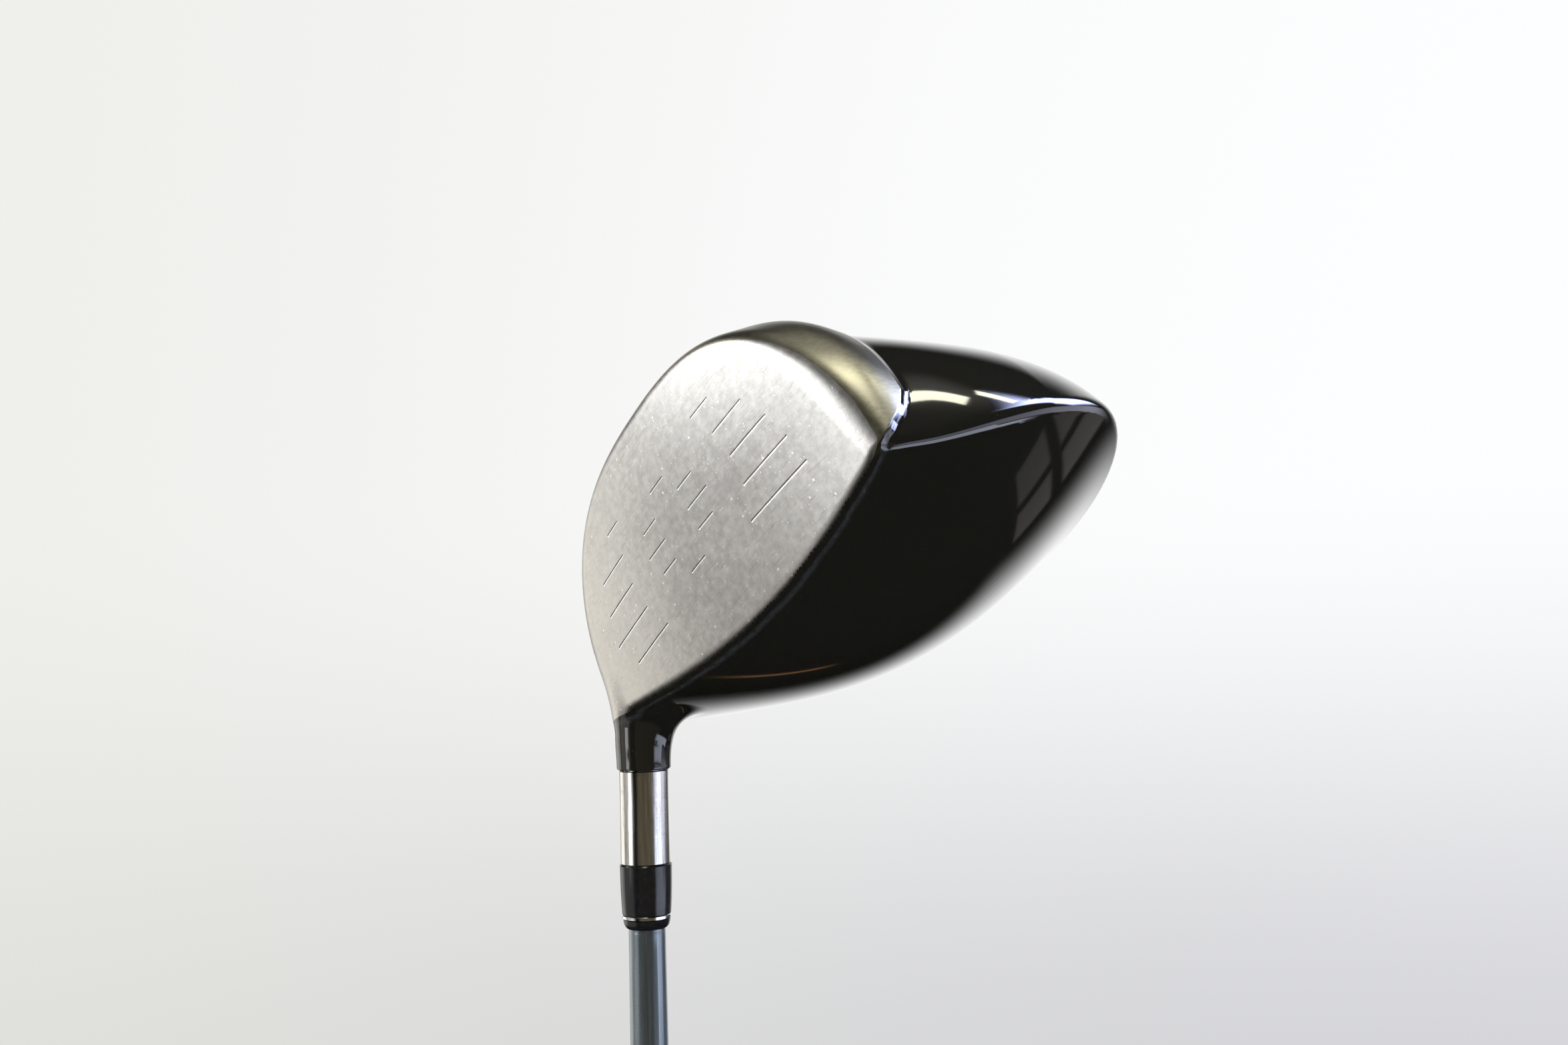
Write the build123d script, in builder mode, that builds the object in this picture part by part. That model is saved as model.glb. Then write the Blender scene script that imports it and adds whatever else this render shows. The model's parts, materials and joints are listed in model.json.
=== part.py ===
from build123d import *
import math
import os

os.makedirs("parts", exist_ok=True)

# ---------------------------------------------------------------- driving dimensions (mm)
CLUB_LENGTH = 1143.0      # 45 in, grip butt to the point where the shaft axis meets the ground
LIE = 59.37               # shaft to ground, degrees
LOFT = 9.84               # face to vertical, degrees

# along the shaft axis, measured back from the ground point towards the grip
PORT_RING = (8.5, 9.7)    # ring that keeps the sleeve bolt captive
BOLT_HEAD = (18.5, 23.0)
WASHER = (23.0, 24.5)
WEB = (24.5, 28.5)
SLEEVE_TIP = 29.0
BOLT_END = 41.5
SLEEVE_THREAD_END = 45.0
SHAFT_TIP = 47.5
SPLINE = (56.5, 63.0)
NECK_END = 63.65
SHOULDER = 63.8
FERRULE_START = 85.2
RING = (96.6, 97.5)
FERRULE_END = 99.75

NECK_R = 6.3
HOSEL_BORE_R = 5.15
PORT_R = 5.3
SLEEVE_R = 5.85
STEM_R = 5.08
SPLINES = 12
FERRULE_R = 6.05
TIP_R = 4.25              # 0.335 in tip
BUTT_R = 7.62             # 0.600 in butt
SHAFT_WALL = 1.3
TAPE_T = 0.2
CAP_T = 3.0
GRIP_LENGTH = 268.0
GRIP_BUTT_R = 13.4
GRIP_MOUTH_R = 9.6
BOLT_R = 2.45             # M5 shank
BOLT_HOLE_R = 2.5
BOLT_PITCH = 0.8

WALL = 1.8                # cast body wall
CROWN_T = 1.2             # crown plate
LIP = 4.4                 # depth of the rim that the crown plate turns down
FACE_T = 3.0              # face plate
FACE_INSET = 1.5          # face plate edge to the outer side of the body
CROWN_INSET = 0.45        # face plate edge to the crown surface
SCORE_W, SCORE_D = 0.55, 0.3
RING_ROWS, SIDE_ROWS = 5.14, 6.70

# body outline and heights, in the head's own frame: X to the toe, Y to the target, Z up from the ground
CX, CY = 32.518, -39.976
TOE_HALF, HEEL_HALF, REAR_HALF = 55.99, 70.48, 56.77
PLAN_N, SIDE_M = 2.527, 2.158
WAIST_Z, SOLE_Z = 46.01, -0.96
SHEAR = 0.06
FRONT_Y = 14.25
TOE_FRONT, HEEL_FRONT = 44.32, 51.91
TOE_EXP, HEEL_EXP, SOLE_EXP = 1.5, 3.76, 3.4
SOLE_FRONT, CX_FRONT, WAIST_FRONT, M_FRONT = -0.43, 27.38, 39.96, 2.646
BAND_RISE, BAND_Y, BAND_SPREAD = 2.66, 2.85, 8.04
FACE_C = (27.55, 13.63, 28.48)
BULGE_R, ROLL_R = 371.9, 297.0
CROWN_X, CROWN_Y, CROWN_L = 27.55, -42.75, 57.0
CROWN_C = (58.520, 2.571, 12.829, -18.410, 2.906, -21.260, -2.143, 1.195, -0.768, -1.628, 1.612, 7.422, 6.140)

# weight ports: where each port axis meets the sole, and the way it points out of the head
WEIGHTS = {"toe": ((60.0, -38.0), (0.55, -0.08, -0.83)), "heel": ((0.5, -40.0), (-0.52, -0.10, -0.85))}
PORT_OUT_R, PORT_IN_R, PORT_DEPTH, PORT_FLOOR = 8.4, 7.0, 9.6, 6.8
WEIGHT_R, WEIGHT_H, WEIGHT_TOP = 6.9, 8.6, 0.7
SCREW_HEAD_R, SCREW_HEAD_H, SCREW_R, SCREW_END = 3.6, 3.4, 2.45, 15.6

LAM = math.radians(LIE)
XH = (math.sin(LAM), 0, math.cos(LAM))
ZH = (math.cos(LAM), 0, -math.sin(LAM))
HEAD = Plane(origin=(0, 0, CLUB_LENGTH), x_dir=XH, z_dir=ZH)


def on_axis(t):
    """height in the club's frame of the point t back along the shaft from the ground point"""
    return CLUB_LENGTH - t


def head_axis(t):
    """the same point in the head's frame"""
    return (-t * math.cos(LAM), 0.0, t * math.sin(LAM))


# ---------------------------------------------------------------- head surfaces
def crown_z(x, y):
    p, q = (x - CROWN_X) / CROWN_L, (y - CROWN_Y) / CROWN_L
    c = CROWN_C
    return (c[0] + c[1] * p + c[2] * q + c[3] * p * p + c[4] * p * q + c[5] * q * q + c[6] * p ** 3
            + c[7] * p * p * q + c[8] * p * q * q + c[9] * q ** 3 + c[10] * p ** 4
            + c[11] * p * p * q * q + c[12] * q ** 4)


def face_point(u, v, back=0.0):
    d = math.radians(LOFT)
    w = -u * u / (2 * BULGE_R) - v * v / (2 * ROLL_R) - back
    return (FACE_C[0] + u,
            FACE_C[1] - v * math.sin(d) + w * math.cos(d),
            FACE_C[2] + v * math.cos(d) + w * math.sin(d))


def wall_section(y, inset=0.0, band=False, count=25):
    """points of the body's side and sole at one depth, from the toe's waist under to the heel's waist"""
    at0, ah0, br0, zb0 = TOE_HALF - inset, HEEL_HALF - inset, REAR_HALF - inset, SOLE_Z + inset
    g = min(max((y - CY) / (FRONT_Y - CY), 0), 1.3)
    at = at0 + (TOE_FRONT - TOE_HALF) * g ** TOE_EXP
    ah = ah0 + (HEEL_FRONT - HEEL_HALF) * g ** HEEL_EXP
    zb = zb0 + (SOLE_FRONT - SOLE_Z) * g ** SOLE_EXP
    cc = CX + (CX_FRONT - CX) * g * g
    zt = WAIST_Z + (WAIST_FRONT - WAIST_Z) * g * g
    m = SIDE_M + (M_FRONT - SIDE_M) * g * g
    cc += SHEAR * (y - CY)
    t = max((CY - y) / br0, 0.0)
    xm = (1 - t ** PLAN_N) ** (1 / PLAN_N)
    dense = []
    for i in range(401):
        a = math.pi * i / 400
        c = math.cos(a)
        xn = xm * math.copysign(abs(c) ** 0.8, c)
        r = min((abs(xn) ** PLAN_N + t ** PLAN_N) ** (1 / PLAN_N), 1.0)
        w = (1 - r ** m) ** (1 / m) if r < 1 else 0.0
        x = cc + xn * (at if xn > 0 else ah)
        dense.append((x, zt - w * (zt - zb)))
    if band:
        out = []
        for i, (x, z) in enumerate(dense):
            x0, z0 = dense[max(i - 1, 0)]
            x1, z1 = dense[min(i + 1, len(dense) - 1)]
            n = math.hypot(x1 - x0, z1 - z0) or 1
            h = BAND_RISE * math.exp(-((y - BAND_Y) / BAND_SPREAD) ** 2) / (1 + math.exp(-(x - 42.75) / 5.7))
            out.append((x - (z1 - z0) / n * h, z + (x1 - x0) / n * h))
        dense = out
    s = [0.0]
    for a, b in zip(dense, dense[1:]):
        s.append(s[-1] + math.dist(a, b))
    pts, k = [], 0
    for j in range(count):
        want = s[-1] * j / (count - 1)
        while k < len(s) - 2 and s[k + 1] < want:
            k += 1
        f = (want - s[k]) / max(s[k + 1] - s[k], 1e-9)
        f = min(max(f, 0), 1)
        pts.append((dense[k][0] + f * (dense[k + 1][0] - dense[k][0]), dense[k][1] + f * (dense[k + 1][1] - dense[k][1])))
    return pts


def bowl(inset=0.0, band=False, front=23.0, top=74.0):
    """everything inside the side and sole surface, open upwards to a flat at `top`"""
    ys = [front, 18.6, 14.2, 10, 5.7, 1.4, -2.9, -7.6, -13.3, -21, -29.5, CY]
    ys += [CY - (REAR_HALF - inset) * t for t in (0.16, 0.31, 0.45, 0.58, 0.69, 0.78, 0.85, 0.905, 0.945, 0.972, 0.988)]
    with BuildPart() as b:
        for y in ys:
            pts = wall_section(y, inset, band)
            with BuildSketch(Plane.XZ.offset(-y)):
                with BuildLine():
                    Spline(*pts)
                    Line(pts[-1], (pts[-1][0], top))
                    Line((pts[-1][0], top), (pts[0][0], top))
                    Line((pts[0][0], top), pts[0])
                make_face()
        loft()
    return b.part


def under_crown(drop=0.0):
    """everything below the crown surface lowered by `drop`"""
    with BuildPart() as b:
        for y in (-110, -100, -91, -82, -70, -59, -47, -36, -25, -13, -2, 10, 23):
            pts = [(x, crown_z(x, y) - drop) for x in range(-53, 108, 11)]
            with BuildSketch(Plane.XZ.offset(-y)):
                with BuildLine():
                    Spline(*pts)
                    Line(pts[-1], (pts[-1][0], -25))
                    Line((pts[-1][0], -25), (pts[0][0], -25))
                    Line((pts[0][0], -25), pts[0])
                make_face()
        loft()
    return b.part


def behind_face(back=0.0):
    """everything behind the bulged and rolled face surface set back by `back`"""
    with BuildPart() as b:
        for u in (-84, -66, -50, -34, -19, -6, 8, 21, 36, 51, 66, 80):
            pts = [face_point(u, v, back)[1:] for v in range(-48, 54, 14)]
            with BuildSketch(Plane.YZ.offset(FACE_C[0] + u)):
                with BuildLine():
                    Spline(*pts)
                    Line(pts[-1], (-130, pts[-1][1]))
                    Line((-130, pts[-1][1]), (-130, pts[0][1]))
                    Line((-130, pts[0][1]), pts[0])
                make_face()
        loft()
    return b.part



def cylinder_at(point, direction, radius, start, end):
    """a plain cylinder about an axis of the head, from `start` to `end` along it"""
    with BuildPart() as b:
        with BuildSketch(Plane(origin=point, z_dir=direction).offset(start)):
            Circle(radius)
        extrude(amount=end - start)
    return b.part


def axis_cylinder(radius, t0, t1):
    """a cylinder about the shaft axis, in the head's frame, between two points measured back from the ground"""
    return cylinder_at((0, 0, 0), head_axis(1.0), radius, t0, t1)


def save(part, name):
    part.label = name
    export_step(part, f"parts/{name}.step")


def save_head(part, name):
    """head pieces are drawn in the head's frame and stand on the shaft axis of the club's frame"""
    save(part.moved(HEAD.location), name)


outer = bowl()
outer_band = bowl(band=True)
inner = bowl(WALL)
face_outline = bowl(FACE_INSET)
crown_top = under_crown()
crown_under = under_crown(CROWN_T)
crown_lip = under_crown(LIP)
crown_face = under_crown(CROWN_INSET)
crown_band = under_crown(0.75)
face_front = behind_face()
face_back = behind_face(FACE_T)

# region that the gunmetal front casting takes: ahead of a line that leans forward to the top toe corner
with BuildPart() as casting_region:
    with BuildSketch(Plane.YZ.offset(-8.0)):
        with BuildLine():
            Polyline((-4.3, -12), (-4.3, 36.5))
            Spline((-4.3, 36.5), (-3.7, 38.0), (-2.1, 40.5), (-0.4, 42.7), (1.4, 44.5), (2.8, 46.2), (4.2, 47.5), (5.0, 48.4), (5.5, 50.0))
            Polyline((5.5, 50.0), (5.5, 70), (30, 70), (30, -12), (-4.3, -12))
        make_face()
    extrude(amount=110)
    add(crown_band, mode=Mode.INTERSECT)

# ---------------------------------------------------------------- hosel (black neck and the tube behind it)
axis_z = head_axis(1.0)
XZ_ROW = (math.sin(LAM), 0, math.cos(LAM))   # the club frame's X direction, seen in the head's frame
with BuildPart() as neck_flare:
    with BuildSketch(Plane(origin=(0, 0, 0), x_dir=(0, 1, 0), z_dir=(axis_z[2], 0, -axis_z[0]))):
        with BuildLine():
            Polyline((0, 40), (15.5, 40), (15.5, 50.6))
            Spline((15.5, 50.6), (11.4, 53.5), (9.0, 55.6), (7.6, 57.6), (6.9, 59.6), (6.62, 61.2), (6.5, 63.2))
            Polyline((6.5, 63.2), (6.2, NECK_END), (0, NECK_END), (0, 40))
        make_face()
    revolve(axis=Axis((0, 0, 0), axis_z))
    add(outer, mode=Mode.INTERSECT)
    add(face_front, mode=Mode.INTERSECT)
    add(crown_top, mode=Mode.SUBTRACT)

with BuildPart() as hosel:
    add(axis_cylinder(NECK_R, 0.0, NECK_END - 0.4))
    add(cylinder_at((0, 0, 0), axis_z, NECK_R - 0.25, NECK_END - 0.6, NECK_END))
    add(axis_cylinder(NECK_R, -6, 20), mode=Mode.SUBTRACT)
    with BuildPart(mode=Mode.PRIVATE) as foot:
        add(axis_cylinder(NECK_R, -6, 20))
        add(outer_band, mode=Mode.INTERSECT)
    add(foot.part)
    add(neck_flare.part)
    add(axis_cylinder(HOSEL_BORE_R, WEB[1], NECK_END + 1), mode=Mode.SUBTRACT)
    add(axis_cylinder(PORT_R, -8, WEB[0]), mode=Mode.SUBTRACT)
    add(axis_cylinder(2.75, WEB[0] - 1, WEB[1] + 1), mode=Mode.SUBTRACT)
    # pockets for the sleeve's splines, open at the neck's end
    spline_plane = Plane(origin=(0, 0, 0), x_dir=XZ_ROW, z_dir=axis_z)
    with BuildSketch(spline_plane.offset(SPLINE[0] - 0.3)):
        with PolarLocations(5.3, SPLINES):
            Rectangle(0.7, 1.3)
    extrude(amount=NECK_END + 1 - SPLINE[0], mode=Mode.SUBTRACT)
hosel_cut = axis_cylinder(NECK_R, -8, 60)

# ---------------------------------------------------------------- weight ports
def port_frame(name):
    """where the port axis leaves the sole, and the unit direction out of the head"""
    (x, y), d = WEIGHTS[name]
    n = math.sqrt(sum(c * c for c in d))
    d = tuple(c / n for c in d)
    probe = Axis((x, y, 30), (0, 0, -1))
    hits = outer.find_intersection_points(probe)
    z = min(p.Z for p, _ in hits)
    return (x, y, z), d


ports = {name: port_frame(name) for name in WEIGHTS}
port_cuts = {name: cylinder_at(p, d, PORT_OUT_R, -20, 6) for name, (p, d) in ports.items()}

# ---------------------------------------------------------------- face plate
with BuildPart() as face_plate:
    add(face_outline)
    add(crown_face, mode=Mode.INTERSECT)
    add(face_front, mode=Mode.INTERSECT)
    add(face_back, mode=Mode.SUBTRACT)
    add(hosel_cut, mode=Mode.SUBTRACT)
face_blank = face_plate.part

score = []
for row in (-2, 2):
    score.append((0.0, row * RING_ROWS, 6.3))
for row in (-1, 1):
    for side in (-1, 1):
        score.append((side * 8.23, row * RING_ROWS, 6.36))
for side in (-1, 1):
    score.append((side * 9.25, 0.0, 8.55))
for k, (ti, to, hi, ho) in enumerate(((17.8, 25.0, 17.4, 23.5), (21.1, 32.6, 20.4, 33.9), (22.2, 36.1, 21.8, 37.2), (21.3, 38.2, 20.7, 40.1), (17.8, 39.4, 17.2, 35.8))):
    v = (k - 2) * SIDE_ROWS - 0.1
    score.append(((ti + to) / 2, v, to - ti))
    score.append((-(hi + ho) / 2, v, ho - hi))

with BuildPart() as score_cutters:
    for u, v, length in score:
        d = math.radians(LOFT)
        normal = (u / BULGE_R, math.cos(d) - v / ROLL_R * -math.sin(d), math.sin(d) + v / ROLL_R * math.cos(d))
        pl = Plane(origin=face_point(u, v), x_dir=(1, -u / BULGE_R, 0), z_dir=normal)
        with BuildSketch(pl.offset(-SCORE_D)):
            SlotOverall(length, SCORE_W)
        extrude(amount=2)
with BuildPart() as face_plate:
    add(face_blank)
    add(score_cutters.part, mode=Mode.SUBTRACT)
save_head(face_plate.part, "face_plate")

# ---------------------------------------------------------------- front casting (toe band and leading edge)
with BuildPart() as front_casting:
    add(outer_band)
    add(inner, mode=Mode.SUBTRACT)
    add(face_front, mode=Mode.INTERSECT)
    add(casting_region.part, mode=Mode.INTERSECT)
    add(face_blank, mode=Mode.SUBTRACT)
    add(hosel_cut, mode=Mode.SUBTRACT)
save_head(front_casting.part, "front_casting")

# ---------------------------------------------------------------- crown plate with its turned-down rim
with BuildPart() as rim:
    add(outer)
    add(inner, mode=Mode.SUBTRACT)
    add(crown_lip, mode=Mode.SUBTRACT)
    add(crown_top, mode=Mode.INTERSECT)
with BuildPart() as crown_shell:
    add(outer)
    add(crown_top, mode=Mode.INTERSECT)
    add(crown_under, mode=Mode.SUBTRACT)
    add(rim.part)
    add(face_front, mode=Mode.INTERSECT)
    add(casting_region.part, mode=Mode.SUBTRACT)
    add(face_blank, mode=Mode.SUBTRACT)
    add(hosel_cut, mode=Mode.SUBTRACT)
save_head(crown_shell.part, "crown_shell")

# ---------------------------------------------------------------- sole plate, let into the body
with BuildPart() as plate_region:
    with BuildSketch(Plane.XY.offset(-10)) as plate_outline:
        with BuildLine():
            pts = [(15, -8.5), (29, -6.0), (43, -8.5), (49.5, -24), (46.5, -48), (38, -70), (30.5, -76), (23, -70), (15.5, -48), (12.5, -24)]
            Spline(*pts, periodic=True)
        make_face()
    extrude(amount=35)
proud = bowl(-0.6)
recess = bowl(0.9)
with BuildPart() as sole_plate:
    add(proud)
    add(recess, mode=Mode.SUBTRACT)
    add(plate_region.part, mode=Mode.INTERSECT)
with BuildPart() as plate_pocket:
    add(plate_region.part)
    add(recess, mode=Mode.SUBTRACT)

# ---------------------------------------------------------------- skirt and sole shell
with BuildPart() as skirt_shell:
    add(outer)
    add(inner, mode=Mode.SUBTRACT)
    add(crown_lip, mode=Mode.INTERSECT)
    add(face_front, mode=Mode.INTERSECT)
    add(casting_region.part, mode=Mode.SUBTRACT)
    add(face_blank, mode=Mode.SUBTRACT)
    add(plate_pocket.part, mode=Mode.SUBTRACT)
    add(hosel_cut, mode=Mode.SUBTRACT)
    for cut in port_cuts.values():
        add(cut, mode=Mode.SUBTRACT)
save_head(skirt_shell.part, "skirt_shell")

# ---------------------------------------------------------------- badge inlay on the sole plate (blank)
badge_region = cylinder_at((28.0, -30.0, -10), (0, 0, 1), 7.0, 0, 30)
badge_floor = bowl(0.1)
with BuildPart() as sole_badge:
    add(bowl(-0.75))
    add(badge_floor, mode=Mode.SUBTRACT)
    add(badge_region, mode=Mode.INTERSECT)
save_head(sole_badge.part, "sole_badge")
with BuildPart() as badge_pocket:
    add(badge_region)
    add(badge_floor, mode=Mode.SUBTRACT)
with BuildPart() as sole_plate_cut:
    add(sole_plate.part)
    add(badge_pocket.part, mode=Mode.SUBTRACT)
save_head(sole_plate_cut.part, "sole_plate")

with BuildPart() as hosel_done:
    add(hosel.part)
    add(face_blank, mode=Mode.SUBTRACT)
save_head(hosel_done.part, "hosel")

# ---------------------------------------------------------------- ribs, hot-melt pad and back weight inside the head
rib_top = bowl(WALL + 5.5)
keep_out = [axis_cylinder(NECK_R + 0.2, -8, 60)] + [cylinder_at(p, d, PORT_OUT_R + 0.2, -24, 4) for p, d in ports.values()]
with BuildPart() as sole_ribs:
    for x in (16.0, 28.0, 40.0):
        with BuildSketch(Plane.YZ.offset(x - 0.5)):
            with Locations((-40, 8)):
                Rectangle(72, 24)
        extrude(amount=1.0)
    add(inner, mode=Mode.INTERSECT)
    add(rib_top, mode=Mode.SUBTRACT)
    add(crown_lip, mode=Mode.INTERSECT)
    for k in keep_out:
        add(k, mode=Mode.SUBTRACT)
save_head(sole_ribs.part, "sole_ribs")

pad_top = bowl(WALL + 2.4)
with BuildPart() as hot_melt_pad:
    add(inner)
    add(pad_top, mode=Mode.SUBTRACT)
    add(cylinder_at((29.0, -89.0, 0), (0, 0, 1), 12, 2, 28), mode=Mode.INTERSECT)
    add(sole_ribs.part, mode=Mode.SUBTRACT)
save_head(hot_melt_pad.part, "hot_melt_pad")

# ---------------------------------------------------------------- weight ports, weights and their screws
for name, (p, d) in ports.items():
    with BuildPart() as port:
        add(cylinder_at(p, d, PORT_OUT_R, -PORT_DEPTH - PORT_FLOOR, 5))
        add(outer, mode=Mode.INTERSECT)
        add(cylinder_at(p, d, PORT_IN_R, -PORT_DEPTH, 8), mode=Mode.SUBTRACT)
        add(cylinder_at(p, d, BOLT_HOLE_R, -PORT_DEPTH - PORT_FLOOR + 0.4, 0), mode=Mode.SUBTRACT)
    save_head(port.part, f"{name}_port")
    with BuildPart() as weight:
        with BuildSketch(Plane(origin=p, z_dir=d).offset(-WEIGHT_TOP - WEIGHT_H)):
            Circle(WEIGHT_R)
        extrude(amount=WEIGHT_H)
        chamfer(weight.edges().filter_by(GeomType.CIRCLE), 0.5)
        add(cylinder_at(p, d, SCREW_HEAD_R + 0.15, -WEIGHT_TOP - SCREW_HEAD_H - 0.6, 1), mode=Mode.SUBTRACT)
        add(cylinder_at(p, d, SCREW_R + 0.1, -PORT_DEPTH - 1, 1), mode=Mode.SUBTRACT)
    save_head(weight.part, f"{name}_weight")
    with BuildPart() as screw:
        add(cylinder_at(p, d, SCREW_HEAD_R, -WEIGHT_TOP - SCREW_HEAD_H - 0.55, -WEIGHT_TOP - 0.55))
        add(cylinder_at(p, d, SCREW_R, -SCREW_END, -WEIGHT_TOP - 1))
        with BuildSketch(Plane(origin=p, z_dir=d).offset(-WEIGHT_TOP - 0.55 - 2.2)):
            with PolarLocations(1.35, 6):
                Circle(0.62)
            Circle(1.45)
        extrude(amount=3, mode=Mode.SUBTRACT)
    save_head(screw.part, f"{name}_weight_screw")

# ================================================================ pieces on the shaft axis, in the club's frame
TIP_Z = on_axis(SHAFT_TIP)
FERRULE_Z = on_axis(FERRULE_END)


def shaft_r(z):
    """outer radius of the bare shaft"""
    marks = ((0, BUTT_R), (300, 7.45), (700, 5.7), (1000, 4.42), (FERRULE_Z, 4.29), (TIP_Z, TIP_R))
    for (za, ra), (zb, rb) in zip(marks, marks[1:]):
        if z <= zb:
            return ra + (rb - ra) * (z - za) / (zb - za)
    return TIP_R


with BuildPart() as shaft:
    with BuildSketch(Plane.XZ):
        with BuildLine():
            outer_pts = [(shaft_r(z), z) for z in (CAP_T, 300, 700, 1000, FERRULE_Z - 1)] + [(TIP_R, FERRULE_Z - 0.5), (TIP_R, TIP_Z)]
            inner_pts = [(TIP_R - SHAFT_WALL, TIP_Z)] + [(shaft_r(z) - SHAFT_WALL, z) for z in (1000, 700, 300, CAP_T)]
            Polyline(*(outer_pts + inner_pts), close=True)
        make_face()
    revolve(axis=Axis.Z)
save(shaft.part, "shaft")

with BuildPart() as shaft_plug:
    with BuildSketch(Plane.XY.offset(TIP_Z - 22)):
        Circle(TIP_R - SHAFT_WALL - 0.02)
    extrude(amount=18)
    chamfer(shaft_plug.edges().filter_by(GeomType.CIRCLE), 0.4)
save(shaft_plug.part, "shaft_tip_plug")

TAPE_END = GRIP_LENGTH - 5
with BuildPart() as grip_tape:
    with BuildSketch(Plane.XZ):
        with BuildLine():
            Polyline((shaft_r(CAP_T + 1), CAP_T + 1), (shaft_r(TAPE_END), TAPE_END), (shaft_r(TAPE_END) + TAPE_T, TAPE_END),
                     (shaft_r(CAP_T + 1) + TAPE_T, CAP_T + 1), close=True)
        make_face()
    revolve(axis=Axis.Z)
save(grip_tape.part, "grip_tape")

with BuildPart() as grip:
    with BuildSketch(Plane.XZ):
        with BuildLine():
            a = Spline((GRIP_BUTT_R - 0.5, CAP_T), (GRIP_BUTT_R - 0.1, 6), (GRIP_BUTT_R - 0.25, 18), (12.5, 70), (11.6, 140), (10.5, 210), (9.9, 250), (GRIP_MOUTH_R, GRIP_LENGTH - 1.2))
            Polyline(a @ 1, (GRIP_MOUTH_R - 1.0, GRIP_LENGTH), (shaft_r(GRIP_LENGTH) + TAPE_T, GRIP_LENGTH),
                     (shaft_r(CAP_T) + TAPE_T, CAP_T), a @ 0)
        make_face()
    revolve(axis=Axis.Z)
save(grip.part, "grip")

with BuildPart() as grip_cap:
    with BuildSketch(Plane.XZ):
        with BuildLine():
            Polyline((0, 0), (GRIP_BUTT_R - 2.4, 0))
            RadiusArc((GRIP_BUTT_R - 2.4, 0), (GRIP_BUTT_R - 0.5, 2.2), -2.6)
            Polyline((GRIP_BUTT_R - 0.5, 2.2), (GRIP_BUTT_R - 0.5, CAP_T), (0, CAP_T), (0, 0))
        make_face()
    revolve(axis=Axis.Z)
save(grip_cap.part, "grip_cap")

# ferrule with its ring
fz = on_axis
with BuildPart() as ferrule:
    with BuildSketch(Plane.XZ):
        with BuildLine():
            Polyline((shaft_r(1100) + 0.02, fz(FERRULE_START)), (FERRULE_R - 0.25, fz(FERRULE_START)), (FERRULE_R, fz(FERRULE_START + 0.3)))
            b = Spline((FERRULE_R, fz(FERRULE_START + 0.3)), (6.02, fz(88.2)), (5.9, fz(92.5)), (5.66, fz(RING[0] - 0.12)))
            Polyline(b @ 1, (5.2, fz(RING[0])), (5.2, fz(RING[1])), (5.5, fz(RING[1] + 0.1)))
            c = Spline((5.5, fz(RING[1] + 0.1)), (5.32, fz(98.6)), (4.95, fz(99.4)), (4.55, fz(FERRULE_END)))
            Polyline(c @ 1, (4.34, fz(FERRULE_END)), (4.34, fz(FERRULE_START)))
            Line((4.34, fz(FERRULE_START)), (shaft_r(1100) + 0.02, fz(FERRULE_START)))
        make_face()
    revolve(axis=Axis.Z)
save(ferrule.part, "ferrule")

with BuildPart() as ferrule_ring:
    with BuildSketch(Plane.XY.offset(fz(RING[1]))):
        Circle(5.74)
        Circle(5.2, mode=Mode.SUBTRACT)
    extrude(amount=RING[1] - RING[0])
    chamfer(ferrule_ring.edges().filter_by(GeomType.CIRCLE).group_by(SortBy.RADIUS)[-1], 0.15)
save(ferrule_ring.part, "ferrule_ring")

# hosel sleeve: collar outside, splined stem inside the head, threaded end for the bolt
with BuildPart() as hosel_sleeve:
    with BuildSketch(Plane.XZ):
        with BuildLine():
            Polyline((BOLT_HOLE_R, fz(SLEEVE_TIP)), (STEM_R - 0.5, fz(SLEEVE_TIP)), (STEM_R, fz(SLEEVE_TIP + 0.7)), (STEM_R, fz(SHOULDER)),
                     (SLEEVE_R - 0.2, fz(SHOULDER)), (SLEEVE_R, fz(SHOULDER + 0.25)), (SLEEVE_R - 0.08, fz(70.5)),
                     (SLEEVE_R - 0.04, fz(79)), (SLEEVE_R, fz(FERRULE_START - 0.25)), (SLEEVE_R - 0.2, fz(FERRULE_START)),
                     (TIP_R + 0.02, fz(FERRULE_START)), (TIP_R + 0.02, fz(SHAFT_TIP)), (0, fz(SHAFT_TIP)),
                     (0, fz(SLEEVE_THREAD_END)), (BOLT_HOLE_R, fz(SLEEVE_THREAD_END)), close=True)
        make_face()
    revolve(axis=Axis.Z)
    with BuildSketch(Plane.XY.offset(fz(SPLINE[1]))):
        with PolarLocations(STEM_R, SPLINES):
            Rectangle(0.76, 1.1)
    extrude(amount=SPLINE[1] - SPLINE[0])
save(hosel_sleeve.part, "hosel_sleeve")

# bolt that draws the head onto the sleeve, with its washer and the ring that keeps it captive
with BuildPart() as sleeve_bolt:
    with BuildSketch(Plane.XY.offset(fz(BOLT_END))):
        Circle(BOLT_R)
    extrude(amount=BOLT_END - BOLT_HEAD[1])
    with BuildSketch(Plane.XY.offset(fz(BOLT_HEAD[1]))):
        Circle(4.1)
    extrude(amount=BOLT_HEAD[1] - BOLT_HEAD[0])
    with BuildSketch(Plane.XY.offset(fz(BOLT_HEAD[0]) - 2.4)):
        with PolarLocations(1.7, 6):
            Circle(0.72)
        Circle(1.8)
    extrude(amount=4, mode=Mode.SUBTRACT)
save(sleeve_bolt.part, "sleeve_bolt")

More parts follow.
